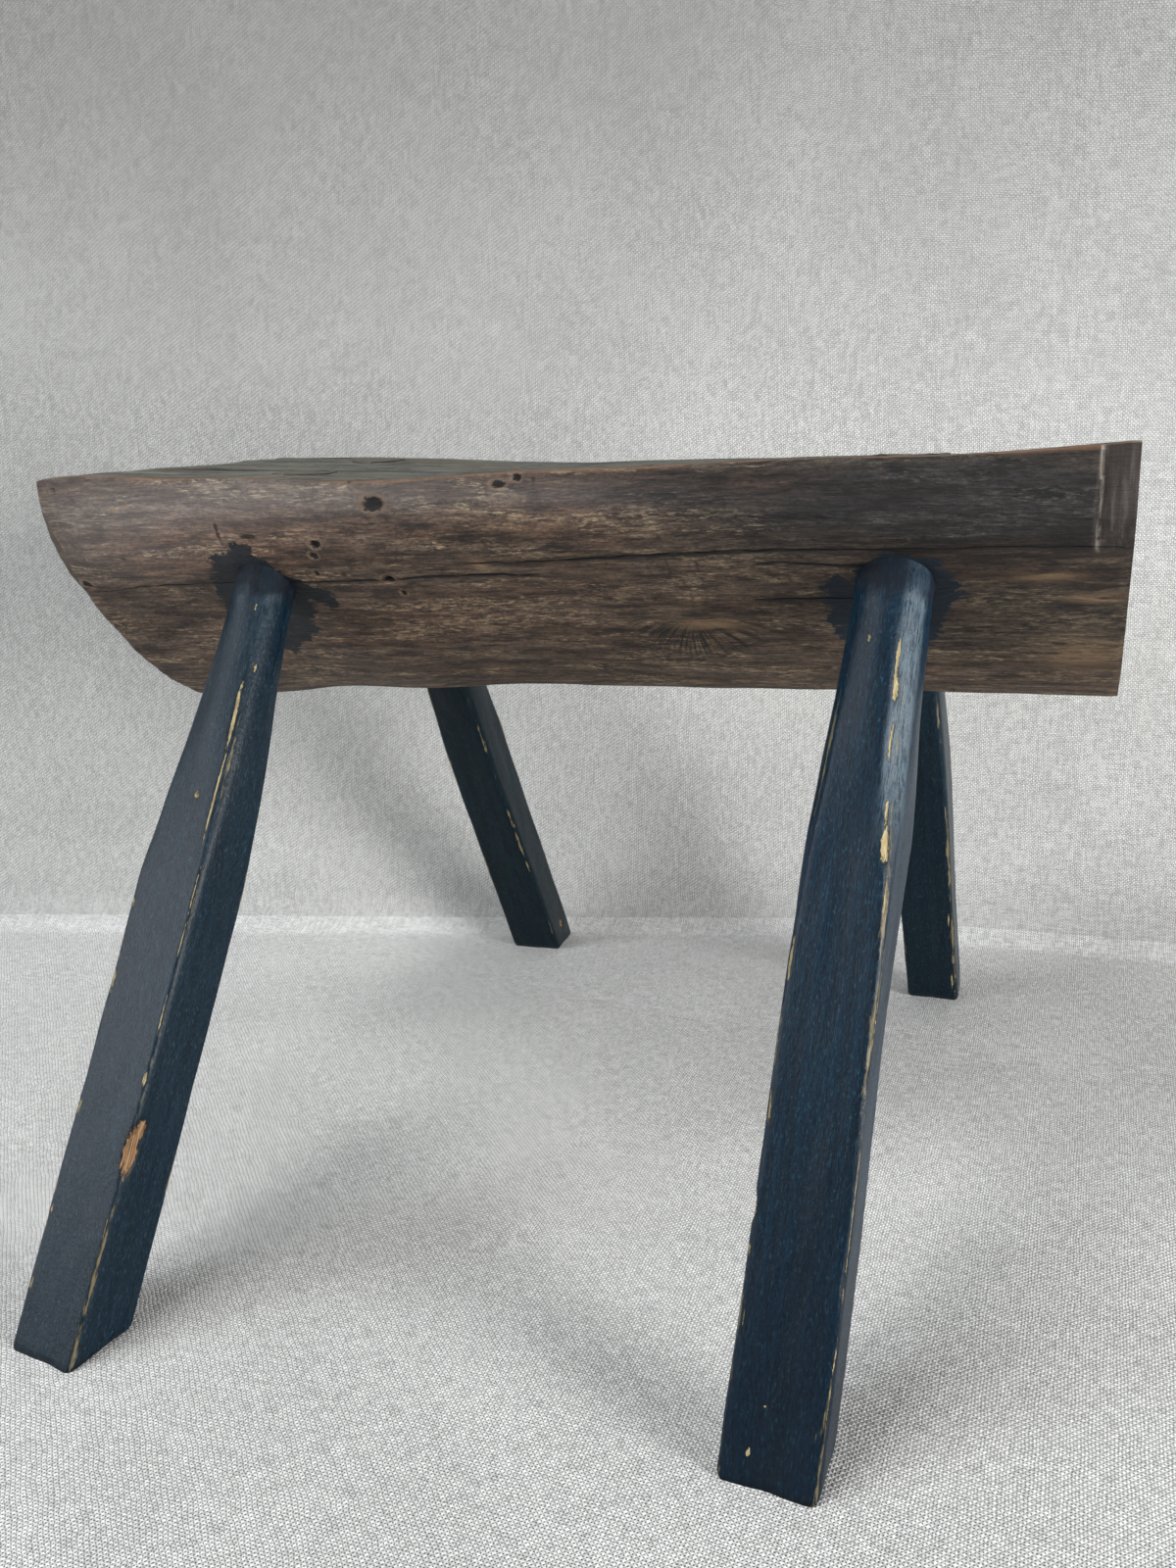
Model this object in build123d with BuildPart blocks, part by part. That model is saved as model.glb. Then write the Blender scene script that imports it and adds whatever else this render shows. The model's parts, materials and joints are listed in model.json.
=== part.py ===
from build123d import *

import os

# Split log stool: half of a log, flat side up, on four splayed legs with wedged tenons.
# Millimetres, +Z up. The origin is on the floor, midway between the outermost points of the
# stool. X runs along the log, -Y is the front.

# Seat, one half of a split log
seat_length = 573.5
seat_height = 426.0  # floor to the highest corner of the flat face, at the back left
front_reach = 120.0  # centre line to the front edge of the flat face
back_reach = 117.0
log_depth = 129.0  # front edge of the flat face down to the underside

# The split face is twisted: how far its edges lie below the highest corner
left_front_drop = 9.5
left_back_drop = 0.0
middle_front_drop = 12.5
middle_back_drop = 15.5
right_front_drop = 8.5
right_back_drop = 12.0
left_end_swell = 15.0  # the left end is the thicker end of the log

# Pared flat on the front face, at the right end
pared_length = 17.0
pared_height = 43.0
pared_inset = 2.0  # behind the front edge

# Round underside, from the front edge to the back edge: (share of the reach, share of the depth)
outline_shares = [
    (-1.01, 0.11),
    (-0.78, 0.44),
    (-0.51, 0.68),
    (-0.18, 0.905),
    (0.12, 1.00),
    (0.46, 0.93),
    (0.77, 0.71),
    (0.95, 0.42),
    (1.015, 0.16),
]

# Legs, squared sticks that taper to a round tenon
leg_width = 40.0  # along the log
leg_thickness = 34.0
arris_radius = 1.5
tenon_diameter = 34.0
neck_length = 14.0  # round part that shows below the log
taper_start_share = 0.66  # of the leg, from the floor to the log
taper_width_share = 0.95
head_inset_x = 120.75  # ends of the log to the middles of the tenons, at the seat
head_inset_y = 50.0  # front and back edges of the seat to the middles of the tenons
foot_splay_x = 8.0  # how much further out the feet stand than the tenons
foot_splay_y = 202.0

# Handmade differences of each leg, as shares of the reaches and of the leg's width
leg_shares = {
    "front_left": {"foot_shares": (-1.04, -1.041), "head_shares": (-0.863, -0.957), "width_share": 1.07},
    "front_right": {"foot_shares": (0.962, -0.917), "head_shares": (1.14, -0.963), "width_share": 0.97},
    "back_left": {"foot_shares": (-0.976, 1.0587), "head_shares": (-1.063, 1.075), "width_share": 1.00},
    "back_right": {"foot_shares": (0.994, 1.0101), "head_shares": (0.989, 1.077), "width_share": 0.96},
}
leg_turn_angles = {"front_left": -6.8, "front_right": -3.2, "back_left": 4.6, "back_right": 1.3}

# Wedge in the split top of each tenon
wedge_length = 32.0
wedge_top_thickness = 5.0
wedge_tip_thickness = 1.2

# Gap between a tenon and its mortise, and between a wedge and its tenon
fit_gap = 0.12
cut_overrun = 60.0  # how far cutting shapes pass beyond what they cut

floor = Plane.XY
half_share = 0.5
round_share = 0.98  # a rounded square with this corner radius is taken as round

# Middles of the tenons and of the feet, from the centre lines
head_reach_x = seat_length * half_share - head_inset_x
foot_reach_x = head_reach_x + foot_splay_x
head_reach_y = {"front": front_reach - head_inset_y, "back": back_reach - head_inset_y}


def section_plane(x):
    """Upright plane across the log: its X is to the back, its Y is up from the seat height."""
    return Plane(origin=(x, 0, seat_height), x_dir=(0, 1, 0), z_dir=(1, 0, 0))


# Stations along the log: X, front drop, back drop, swell of the depth
stations = [
    (-seat_length * half_share, left_front_drop, left_back_drop, left_end_swell),
    (0.0, middle_front_drop, middle_back_drop, 0.0),
    (seat_length * half_share, right_front_drop, right_back_drop, 0.0),
]


def outline_points(front_drop, swell):
    """Points of the round underside at one station."""
    depth = log_depth + swell
    points = []
    for reach_share, depth_share in outline_shares:
        reach = front_reach if reach_share < 0 else back_reach
        points.append((reach_share * reach, -front_drop - depth_share * depth))
    return points


with BuildPart() as log_blank:
    for station_x, front_drop, back_drop, swell in stations:
        front_corner = (-front_reach, -front_drop)
        back_corner = (back_reach, -back_drop)
        with BuildSketch(section_plane(station_x)):
            with BuildLine():
                Line(back_corner, front_corner)
                Spline(front_corner, *outline_points(front_drop, swell), back_corner)
            make_face()
    loft()

with BuildPart() as above_seat:
    for station_x, front_drop, back_drop, swell in stations:
        with BuildSketch(section_plane(station_x)):
            with BuildLine():
                Polyline(
                    (-front_reach, -front_drop),
                    (back_reach, -back_drop),
                    (back_reach, cut_overrun),
                    (-front_reach, cut_overrun),
                    close=True,
                )
            make_face()
    loft()


def leg_plane(name):
    """Plane at the foot of a leg: Z runs up the leg, X across its wider side."""
    foot_x, foot_y = leg_shares[name]["foot_shares"]
    head_x, head_y = leg_shares[name]["head_shares"]
    head_reach = head_reach_y[name.split("_")[0]]
    foot = Vector(foot_reach_x * foot_x, (head_reach + foot_splay_y) * foot_y, 0)
    head = Vector(head_reach_x * head_x, head_reach * head_y, seat_height)
    along = (head - foot).normalized()
    level = Vector(1, 0, 0).rotate(Axis.Z, leg_turn_angles[name])
    across = level - along * level.dot(along)
    return Plane(origin=foot, x_dir=across, z_dir=along)


def log_distances(base):
    """Distances from the foot of a leg, along it, to the underside of the log and to the seat."""
    far_end = base.origin + base.z_dir * (seat_height + cut_overrun)
    inside = Edge.make_line(base.origin, far_end).intersect(log_blank.part)
    ends = [(base.origin - edge.position_at(end)).length for edge in inside for end in (0, 1)]
    return min(ends), max(ends)


def wedge_block(base, gap):
    """Wedge in its place in a tenon, grown by a gap on each face."""
    underside, seat_face = log_distances(base)
    seat = base.offset(seat_face)
    side = Plane(origin=seat.origin, x_dir=seat.x_dir, z_dir=seat.x_dir.cross(seat.z_dir))
    top = wedge_top_thickness * half_share + gap
    tip = wedge_tip_thickness * half_share + gap
    top_slope = (wedge_top_thickness - wedge_tip_thickness) * half_share / wedge_length
    raised = top + top_slope * cut_overrun
    with BuildPart() as block:
        with BuildSketch(side):
            with BuildLine():
                Polyline(
                    (-raised, cut_overrun),
                    (-tip, -wedge_length - gap),
                    (tip, -wedge_length - gap),
                    (raised, cut_overrun),
                    close=True,
                )
            make_face()
        extrude(amount=tenon_diameter * half_share + gap, both=True)
    return block.part


def make_leg(name):
    """Squared stick with a round tenon, cut level at the floor and flush with the seat."""
    base = leg_plane(name)
    width = leg_width * leg_shares[name]["width_share"]
    underside, seat_face = log_distances(base)
    neck = underside - neck_length
    kerf = wedge_block(base, fit_gap)
    with BuildPart() as leg:
        with BuildSketch(base.offset(-leg_thickness)):
            RectangleRounded(width, leg_thickness, arris_radius)
        with BuildSketch(base.offset(neck * taper_start_share)):
            RectangleRounded(width * taper_width_share, leg_thickness, arris_radius)
        with BuildSketch(base.offset(neck)):
            RectangleRounded(tenon_diameter, tenon_diameter, tenon_diameter * half_share * round_share)
        loft(ruled=True)
        with BuildSketch(base.offset(neck)):
            Circle(tenon_diameter * half_share)
        extrude(amount=seat_face + leg_thickness - neck)
        split(bisect_by=floor, keep=Keep.TOP)
        add(above_seat.part, mode=Mode.SUBTRACT)
        add(kerf, mode=Mode.SUBTRACT)
    return leg.part


def make_wedge(name):
    """Hardwood wedge, no wider than the tenon that it spreads, cut flush with the seat."""
    base = leg_plane(name)
    underside, seat_face = log_distances(base)
    block = wedge_block(base, 0)
    with BuildPart() as wedge:
        with BuildSketch(base.offset(seat_face - wedge_length - cut_overrun)):
            Circle(tenon_diameter * half_share)
        extrude(amount=wedge_length + cut_overrun + leg_thickness)
        add(block, mode=Mode.INTERSECT)
        add(above_seat.part, mode=Mode.SUBTRACT)
    return wedge.part


os.makedirs("parts", exist_ok=True)

# Seat, with a mortise bored right through it for each leg and the pared flat at the right end
pared_face = -front_reach + pared_inset
right_front_top = -right_front_drop
with BuildPart() as seat_log:
    add(log_blank.part)
    for leg_name in leg_shares:
        mortise = leg_plane(leg_name)
        underside, seat_face = log_distances(mortise)
        with BuildSketch(mortise.offset(underside - cut_overrun)):
            Circle(tenon_diameter * half_share + fit_gap)
        extrude(amount=seat_face - underside + cut_overrun + cut_overrun, mode=Mode.SUBTRACT)
    with BuildSketch(section_plane(seat_length * half_share - pared_length)):
        with BuildLine():
            Polyline(
                (pared_face, right_front_top + cut_overrun),
                (pared_face, right_front_top - pared_height),
                (pared_face - cut_overrun, right_front_top - pared_height),
                (pared_face - cut_overrun, right_front_top + cut_overrun),
                close=True,
            )
        make_face()
    extrude(amount=pared_length + cut_overrun, mode=Mode.SUBTRACT)
seat_log.part.label = "seat_log"
export_step(seat_log.part, "parts/seat_log.step")

for leg_name in leg_shares:
    leg_part = make_leg(leg_name)
    leg_part.label = "leg_" + leg_name
    export_step(leg_part, "parts/leg_" + leg_name + ".step")

    wedge_part = make_wedge(leg_name)
    wedge_part.label = "wedge_" + leg_name
    export_step(wedge_part, "parts/wedge_" + leg_name + ".step")
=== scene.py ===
import functools
import itertools
import json
import math

import bmesh
import bpy
import numpy as np
from mathutils import Matrix, Vector
from mathutils.bvhtree import BVHTree


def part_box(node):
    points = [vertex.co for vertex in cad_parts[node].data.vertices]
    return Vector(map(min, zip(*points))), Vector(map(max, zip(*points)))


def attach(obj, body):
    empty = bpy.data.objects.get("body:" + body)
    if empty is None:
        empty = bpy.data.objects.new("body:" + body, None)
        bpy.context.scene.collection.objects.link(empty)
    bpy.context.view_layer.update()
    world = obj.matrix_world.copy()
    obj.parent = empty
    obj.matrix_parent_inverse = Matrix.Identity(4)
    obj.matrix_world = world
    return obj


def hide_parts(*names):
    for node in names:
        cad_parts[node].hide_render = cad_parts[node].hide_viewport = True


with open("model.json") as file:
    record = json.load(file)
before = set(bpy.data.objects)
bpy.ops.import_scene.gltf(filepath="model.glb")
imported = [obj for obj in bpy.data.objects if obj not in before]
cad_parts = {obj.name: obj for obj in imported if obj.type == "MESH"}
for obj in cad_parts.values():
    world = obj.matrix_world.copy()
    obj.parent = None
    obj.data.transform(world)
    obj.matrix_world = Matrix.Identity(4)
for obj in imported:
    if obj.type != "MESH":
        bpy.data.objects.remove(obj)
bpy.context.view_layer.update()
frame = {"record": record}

# Split log stool. Lengths are in millimetres until a mesh is made, which is in metres.
# X runs along the log, -Y is the front and Z is up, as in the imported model.
MM = 0.001

log_high = np.array(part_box("seat_log")[1]) / MM
LOG_END = log_high[0]  # from the middle of the log to each end
SEAT_TOP = log_high[2]
FRONT_EDGE, BACK_EDGE = -120.0, 117.0  # Y of the two long edges of the split face
LINES_END = 287.0  # the lines below reach this far from the middle

# Heights of the log's long lines, each as (X, Z) from the left end to the right
front_edge_line = [
    (-287, 416.7), (-276, 417.8), (-211, 415.8), (-153, 414.1), (-89, 411.4), (-45, 411.7),
    (-4, 413.7), (48, 413.8), (117, 415.2), (171, 415.4), (226, 415.1), (287, 417.6),
]
back_edge_line = [
    (-287, 425.6), (-240, 424.1), (-175, 421.9), (-123, 418.8), (-86, 416.6), (-60, 415.3), (-20, 414.6),
    (30, 414.8), (57, 414.7), (83, 414.1), (110, 413.3), (150, 412.4), (220, 411.9), (287, 413.2),
]
belly_line = [
    (-287, 273.5), (-221, 274.2), (-172, 279.2), (-115, 279.4), (-72, 283.2), (-5, 286.2),
    (76, 286.5), (138, 287.6), (191, 288.4), (287, 289.2),
]

# Round underside from the front edge to the back edge: (share of the reach, share of the depth)
outline_shares = [
    (-1.0, 0.0), (-1.01, 0.11), (-0.945, 0.29), (-0.78, 0.44), (-0.51, 0.68), (-0.18, 0.905),
    (0.12, 1.0), (0.46, 0.93), (0.77, 0.71), (0.95, 0.42), (1.015, 0.16),
]


def spline(points, at):
    """Natural cubic spline through rows of (knot, value, ...), read at the knots in `at`."""
    points = np.asarray(points, float)
    knots, values = points[:, 0], points[:, 1:]
    step, rise = np.diff(knots), np.diff(values, axis=0)
    count = len(knots)
    system, right = np.eye(count), np.zeros_like(values)
    for i in range(1, count - 1):
        system[i, i - 1 : i + 2] = step[i - 1], 2 * (step[i - 1] + step[i]), step[i]
        right[i] = 3 * (rise[i] / step[i] - rise[i - 1] / step[i - 1])
    bend = np.linalg.solve(system, right)
    slope = rise / step[:, None] - step[:, None] * (2 * bend[:-1] + bend[1:]) / 3
    twist = np.diff(bend, axis=0) / (3 * step[:, None])
    at = np.asarray(at, float)
    i = np.clip(np.searchsorted(knots, at) - 1, 0, count - 2)
    t = (at - knots[i])[:, None]
    return values[i] + slope[i] * t + bend[i] * t**2 + twist[i] * t**3


def line_at(points, at):
    """The same for a single value."""
    return spline(points, np.ravel(at))[:, 0].reshape(np.shape(at))


def ease(low, high, value):
    """0 below low, 1 above high and smooth between them."""
    t = np.clip((value - low) / (high - low), 0, 1)
    return t * t * (3 - 2 * t)


class Noise:
    """Smooth noise from about -1 to 1, on a lattice of seeded numbers."""

    side = 32

    def __init__(self, seed):
        self.table = np.random.default_rng(seed).uniform(-1, 1, (self.side,) * 3)

    def __call__(self, points, cell):
        """Noise at points, whose features are `cell` long along each axis."""
        places = np.asarray(points, float) / np.asarray(cell, float)
        base = np.floor(places).astype(int)
        part = places - base
        part = part * part * (3 - 2 * part)
        total = 0
        for corner in itertools.product((0, 1), repeat=3):
            weight = np.prod(np.where(corner, part, 1 - part), axis=-1)
            x, y, z = np.moveaxis((base + corner) % self.side, -1, 0)
            total = total + weight * self.table[x, y, z]
        return total


def between(table, at, column=1):
    """Value of a table of (place, value, ...) rows, straight between its rows."""
    return np.interp(at, [row[0] for row in table], [row[column] for row in table])


def polar(radius, angles):
    """The two places of points round a line."""
    return radius * np.cos(angles), radius * np.sin(angles)


broad_noise, middle_noise, fine_noise, edge_noise = (Noise(seed) for seed in (11, 23, 37, 53))


def relief_of(points, waves):
    """Sum of waves, each a noise, its cell and its height."""
    return sum(height * noise(points, cell) for noise, cell, height in waves)


# Camera, set where the photograph was taken
CAMERA_PLACE = (0.2720, -0.6939, 0.4206)
CAMERA_TURN, CAMERA_PITCH, CAMERA_ROLL = 0.3811, 0.2536, -0.035  # radians
CAMERA_LENS, SENSOR = 29.25, 36.0


def make_camera():
    data = bpy.data.cameras.new("camera")
    data.lens = CAMERA_LENS
    data.sensor_width = SENSOR
    data.clip_start = 0.01
    camera = bpy.data.objects.new("camera", data)
    level = Matrix.Rotation(CAMERA_TURN, 4, "Z") @ Matrix.Rotation(math.pi / 2 - CAMERA_PITCH, 4, "X")
    camera.matrix_world = Matrix.Translation(CAMERA_PLACE) @ level @ Matrix.Rotation(CAMERA_ROLL, 4, "Z")
    bpy.context.scene.collection.objects.link(camera)
    bpy.context.scene.camera = camera


make_camera()


# Mesh making
def new_mesh(name, points, faces):
    mesh = bpy.data.meshes.new(name)
    mesh.from_pydata((points * MM).tolist(), [], faces)
    return mesh


def set_slots(mesh, slots):
    """Gives each face its material."""
    mesh.polygons.foreach_set("material_index", np.ravel(slots).astype(np.int32))


def new_object(name, mesh, materials=()):
    for material in materials:
        mesh.materials.append(material)
    thing = bpy.data.objects.new(name, mesh)
    bpy.context.scene.collection.objects.link(thing)
    return thing


def outward(mesh):
    """Turns the faces of a closed mesh outwards."""
    shape = bmesh.new()
    shape.from_mesh(mesh)
    bmesh.ops.recalc_face_normals(shape, faces=shape.faces)
    shape.to_mesh(mesh)
    shape.free()


def strips(index):
    """Faces between the neighbours in a grid of point numbers."""
    return np.stack([index[:-1, :-1], index[:-1, 1:], index[1:, 1:], index[1:, :-1]], axis=-1).reshape(-1, 4)


def loft(name, rings, caps, slots, cap_slots, materials=()):
    """Closed object through rings of points, with caps that shrink to a point at each end.

    A cap is a list of rings, from the outer one inwards, and its middle point. slots holds the material
    of the wall, for all of it or by place round a ring, and cap_slots the one of each cap.
    """
    (first_rings, first_middle), (last_rings, last_middle) = caps
    stack = np.concatenate([first_rings[::-1], rings, last_rings])
    count, around = stack.shape[:2]
    index = np.arange(count * around).reshape(count, around)
    closed = np.hstack([index, index[:, :1]])
    middle = count * around
    fans = [(middle, b, a) for a, b in zip(closed[0], closed[0, 1:])]
    fans += [(middle + 1, a, b) for a, b in zip(closed[-1], closed[-1, 1:])]
    points = np.concatenate([stack.reshape(-1, 3), [first_middle, last_middle]])
    mesh = new_mesh(name, points, strips(closed).tolist() + fans)
    tags = np.full((count - 1, around), cap_slots[0])
    last_wall = len(first_rings) + len(rings) - 1
    tags[len(first_rings) : last_wall] = slots
    tags[last_wall:] = cap_slots[1]
    set_slots(mesh, np.concatenate([tags.ravel(), np.repeat(cap_slots, around)]))
    outward(mesh)
    return new_object(name, mesh, materials)


def cap_rings(ring, middle, fractions):
    """Rings that shrink from a ring towards a middle point."""
    middle = np.asarray(middle, float)
    return np.array([middle + (ring - middle) * fraction for fraction in fractions])


def blunt_cap(ring):
    """Flat cap of a cutting shape."""
    return cap_rings(ring, ring.mean(axis=0), [0.5]), ring.mean(axis=0)


def cut_away(thing, cutters):
    """Cuts shapes out of an object and removes them."""
    for cutter in cutters:
        cut = thing.modifiers.new("cut", "BOOLEAN")
        cut.object = cutter
        cut.solver = "EXACT"
        cut.material_mode = "INDEX"
    bpy.context.view_layer.update()
    shown = thing.evaluated_get(bpy.context.evaluated_depsgraph_get())
    mesh = bpy.data.meshes.new_from_object(shown)
    thing.modifiers.clear()
    thing.data = mesh
    for cutter in cutters:
        bpy.data.objects.remove(cutter)


def vertex_points(mesh):
    points = np.empty(len(mesh.vertices) * 3, np.float32)
    mesh.vertices.foreach_get("co", points)
    return points.reshape(-1, 3) / MM


def store(mesh, fields):
    """Keeps fields, a number or a vector for each vertex, which the materials read by name."""
    for name, values in fields.items():
        values = np.asarray(values, np.float32)
        kind, field = ("FLOAT", "value") if values.ndim == 1 else ("FLOAT_VECTOR", "vector")
        layer = mesh.attributes.new(name, kind, "POINT")
        layer.data.foreach_set(field, values.ravel())


def ring_normals(rings):
    """Outward normals of a tube of rings, from the points beside each one."""
    along = np.gradient(rings, axis=0)
    around = np.roll(rings, -1, axis=1) - np.roll(rings, 1, axis=1)
    normals = np.cross(around, along)
    return normals / np.maximum(np.linalg.norm(normals, axis=-1, keepdims=True), 1e-9)


# Log. Cracks of the front face, from the top: a line of (X, Z) and its (X, width, depth)
cracks = [
    (
        [(-287, 368.0), (-120, 370.0), (-60, 368.9), (-19, 368.7), (41, 370.8), (99, 373.2), (152, 374.7),
         (202, 374.9), (250, 375.9), (287, 374.8)],
        [(-287, 0.2, 0.0), (-34, 0.2, 0.0), (-22, 0.7, 3.0), (10, 1.0, 6.0), (50, 1.4, 8.0), (90, 1.6, 9.0),
         (130, 1.2, 8.0), (180, 0.9, 6.0), (240, 0.7, 5.0), (287, 1.0, 6.0)],
    ),
    (
        [(-287, 353.2), (-231, 355.2), (-194, 356.3), (-116, 358.3), (-73, 359.6), (-30, 362.0),
         (12, 362.0), (70, 364.5), (126, 368.0), (141, 367.9), (185, 365.6), (240, 361.0), (287, 357.0)],
        [(-287, 0.7, 3.0), (-200, 0.6, 2.5), (-116, 1.0, 5.0), (-60, 1.0, 6.0), (-20, 1.5, 7.0),
         (4, 1.2, 5.0), (14, 0.2, 0.0), (118, 0.2, 0.0), (132, 1.0, 4.0), (165, 1.3, 5.0),
         (186, 0.8, 3.0), (194, 0.2, 0.0), (287, 0.2, 0.0)],
    ),
    (
        [(-287, 338.0), (-60, 344.0), (60, 347.0), (126, 349.0), (167, 350.0), (287, 346.0)],
        [(-287, 0.2, 0.0), (112, 0.2, 0.0), (124, 0.8, 3.0), (150, 1.1, 4.0), (172, 0.6, 2.0),
         (180, 0.2, 0.0), (287, 0.2, 0.0)],
    ),
]
# Checks of the split face, from the back: a line of (X, Y) and its (X, width, depth)
checks = [
    (
        [(-287, 78.0), (-150, 74.0), (-20, 82.0), (120, 76.0), (287, 84.0)],
        [(-287, 1.4, 5.0), (-190, 0.9, 4.0), (-120, 0.25, 0.4), (-40, 0.25, 0.4), (10, 1.0, 4.0),
         (90, 1.2, 5.0), (130, 0.3, 0.5), (287, 0.3, 0.5)],
    ),
    (
        [(-287, 14.0), (-190, 10.0), (-60, 17.0), (60, 6.0), (170, 10.0), (287, 4.0)],
        [(-287, 2.6, 9.0), (-180, 2.0, 8.0), (-80, 1.4, 6.0), (20, 0.9, 4.0), (110, 1.2, 4.0),
         (200, 2.0, 7.0), (287, 2.8, 9.0)],
    ),
    (
        [(-287, -38.0), (-170, -41.0), (-40, -32.0), (90, -39.0), (287, -34.0)],
        [(-287, 0.3, 0.5), (-220, 1.2, 4.0), (-100, 1.5, 5.0), (-20, 0.4, 1.0), (90, 0.3, 0.5),
         (180, 1.2, 4.0), (287, 1.6, 5.0)],
    ),
    (
        [(-287, -92.0), (-140, -96.0), (0, -94.0), (140, -98.0), (287, -93.0)],
        [(-287, 1.0, 3.0), (-215, 1.0, 3.0), (-130, 0.3, 0.5), (30, 0.3, 0.5), (90, 1.0, 3.0),
         (150, 0.9, 2.5), (210, 0.3, 0.5), (287, 0.3, 0.5)],
    ),
]

SECTION_STEPS = 500  # points that each section is first drawn with
FRONT_ROWS, BELLY_ROWS, TOP_ROWS = 92, 62, 94
FRONT_GIRTH_SHARE = 0.42  # of the round underside, drawn with the finer rows
COLUMN_STEP = 2.1
PARED_START, PARED_INSET, PARED_LOW = 272.0, 2.0, 375.5
PITH = (0.0, 9.0, 405.0)  # middle of the log's rings, at its ends


def log_columns():
    """X of each section: even, and closer together at the ends and where the pared flat begins."""
    even = np.arange(-LOG_END + 4, LOG_END - 3, COLUMN_STEP)
    even = even[np.abs(even - PARED_START) > COLUMN_STEP * 2 / 3]
    near_end = np.array([0.0, 0.5, 1.2, 2.2])
    near_flat = PARED_START + np.array([-0.7, 0.0])
    return np.sort(np.concatenate([-LOG_END + near_end, even, near_flat, LOG_END - near_end]))


def log_sections(columns):
    """Finely drawn round undersides, front edge first: arrays of Y and Z, by column."""
    top, belly, back = (line_at(line, columns) for line in (front_edge_line, belly_line, back_edge_line))
    reach = [share * (-FRONT_EDGE if share < 0 else BACK_EDGE) for share, _ in outline_shares] + [BACK_EDGE]
    heights = [top - share * (top - belly) for _, share in outline_shares] + [back]
    knots = np.concatenate([[0], np.cumsum(np.hypot(np.diff(reach), np.diff(np.mean(heights, axis=1))))])
    rows = np.column_stack([knots, reach, heights])
    drawn = spline(rows, np.linspace(0, knots[-1], SECTION_STEPS))
    return np.repeat(drawn[:, :1], len(columns), axis=1), drawn[:, 1:]


def rows_through(start, end, count, lines):
    """Places of rows from start to end with three rows on each line: its two lips and its bottom.

    start, end and each line's middle and width are by column. Also gives each line's bottom row.
    """
    anchors, places, bottoms = [0], [start], []
    for middle, width in lines:
        share = np.mean((middle - start) / (end - start))
        bottom = int(round(share * (count - 1)))
        bottoms.append(bottom)
        anchors += [bottom - 1, bottom, bottom + 1]
        places += [middle - width / 2, middle, middle + width / 2]
    anchors.append(count - 1)
    places.append(end)
    rows = [np.interp(np.arange(count), anchors, column) for column in np.transpose(places)]
    return np.transpose(rows), bottoms


def underside(columns):
    """Y, Z and groove depth of the round underside, by column and row."""
    zeros, ones = np.zeros(len(columns)), np.ones(len(columns))
    drawn_y, drawn_z = log_sections(columns)
    share = np.linspace(0, 1, SECTION_STEPS)
    girth = np.hypot(np.diff(drawn_y[:, 0]), np.diff(drawn_z.mean(axis=1))).sum()
    front = SECTION_STEPS // 2
    waver = 0.5 * edge_noise(np.stack([columns, zeros, zeros], -1), (9, 9, 9))
    lines = []
    for line, size in cracks:
        heights = line_at(line, columns) + waver
        middle = [np.interp(-z, -drawn_z[:front, i], share[:front]) for i, z in enumerate(heights)]
        lines.append((np.array(middle), between(size, columns) / girth))
    front_rows, bottoms = rows_through(zeros, ones * FRONT_GIRTH_SHARE, FRONT_ROWS, lines)
    belly_rows = np.linspace(ones * FRONT_GIRTH_SHARE, ones, BELLY_ROWS + 1)[1:]
    rows = np.concatenate([front_rows, belly_rows]).T
    y = np.array([np.interp(row, share, line) for row, line in zip(rows, drawn_y.T)])
    z = np.array([np.interp(row, share, line) for row, line in zip(rows, drawn_z.T)])
    depths = np.zeros(y.shape)
    depths[:, bottoms] = np.transpose([between(size, columns, 2) for _, size in cracks])
    return y, z, depths


def split_face(columns, back_z, front_z):
    """The same for the split face, between its two edges."""
    zeros, ones = np.zeros(len(columns)), np.ones(len(columns))
    lines = []
    for line, size in checks:
        across = line_at(line, columns)
        across = across + 1.2 * edge_noise(np.stack([columns, across, zeros], -1), (16, 40, 9))
        lines.append((across, -between(size, columns)))
    rows, bottoms = rows_through(ones * BACK_EDGE, ones * FRONT_EDGE, TOP_ROWS + 2, lines)
    y = rows[1:-1].T
    part = (y - BACK_EDGE) / (FRONT_EDGE - BACK_EDGE)
    depths = np.zeros(y.shape)
    depths[:, np.array(bottoms) - 1] = np.transpose([between(size, columns, 2) for _, size in checks])
    return y, back_z * (1 - part) + front_z * part, depths


def log_rings():
    """The log's surface: rings by column, the depth of each groove and the number of underside rows."""
    columns = log_columns()
    under_y, under_z, under_depths = underside(columns)
    top_y, top_z, top_depths = split_face(columns, under_z[:, -1:], under_z[:, :1])
    y, z = np.hstack([under_y, top_y]), np.hstack([under_z, top_z])
    rings = np.stack([np.repeat(columns[:, None], y.shape[1], axis=1), y, z], axis=-1)
    return rings, np.hstack([under_depths, top_depths]), under_y.shape[1]


# Hollows of the front face: (X, Z, half length, half height, depth)
front_hollows = [
    (-69.2, 399.8, 6.5, 4.2, 1.8),
    (10.8, 410.8, 3.0, 2.2, 1.6),
    (0.8, 407.8, 4.5, 2.2, 1.2),
    (-82.7, 412.4, 2.2, 2.6, 1.8),
    (-108.3, 379.5, 3.6, 2.4, 2.0),
    (-112.1, 373.6, 3.0, 2.2, 1.2),
    (-117.3, 363.5, 2.2, 1.8, 1.5),
    (-76.0, 359.9, 4.0, 2.0, 2.2),
    (-72.2, 351.8, 2.2, 1.8, 1.8),
    (-42.6, 344.3, 1.8, 1.4, 1.2),
    (-127.6, 392.8, 9.0, 3.0, 0.8),
    (-147.9, 383.6, 7.0, 2.6, 0.8),
    (-228.0, 401.0, 8.0, 2.4, 0.9),
    (-278.9, 356.6, 4.0, 2.2, 1.2),
    (153.0, 388.0, 12.0, 3.2, 0.7),
]
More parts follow.
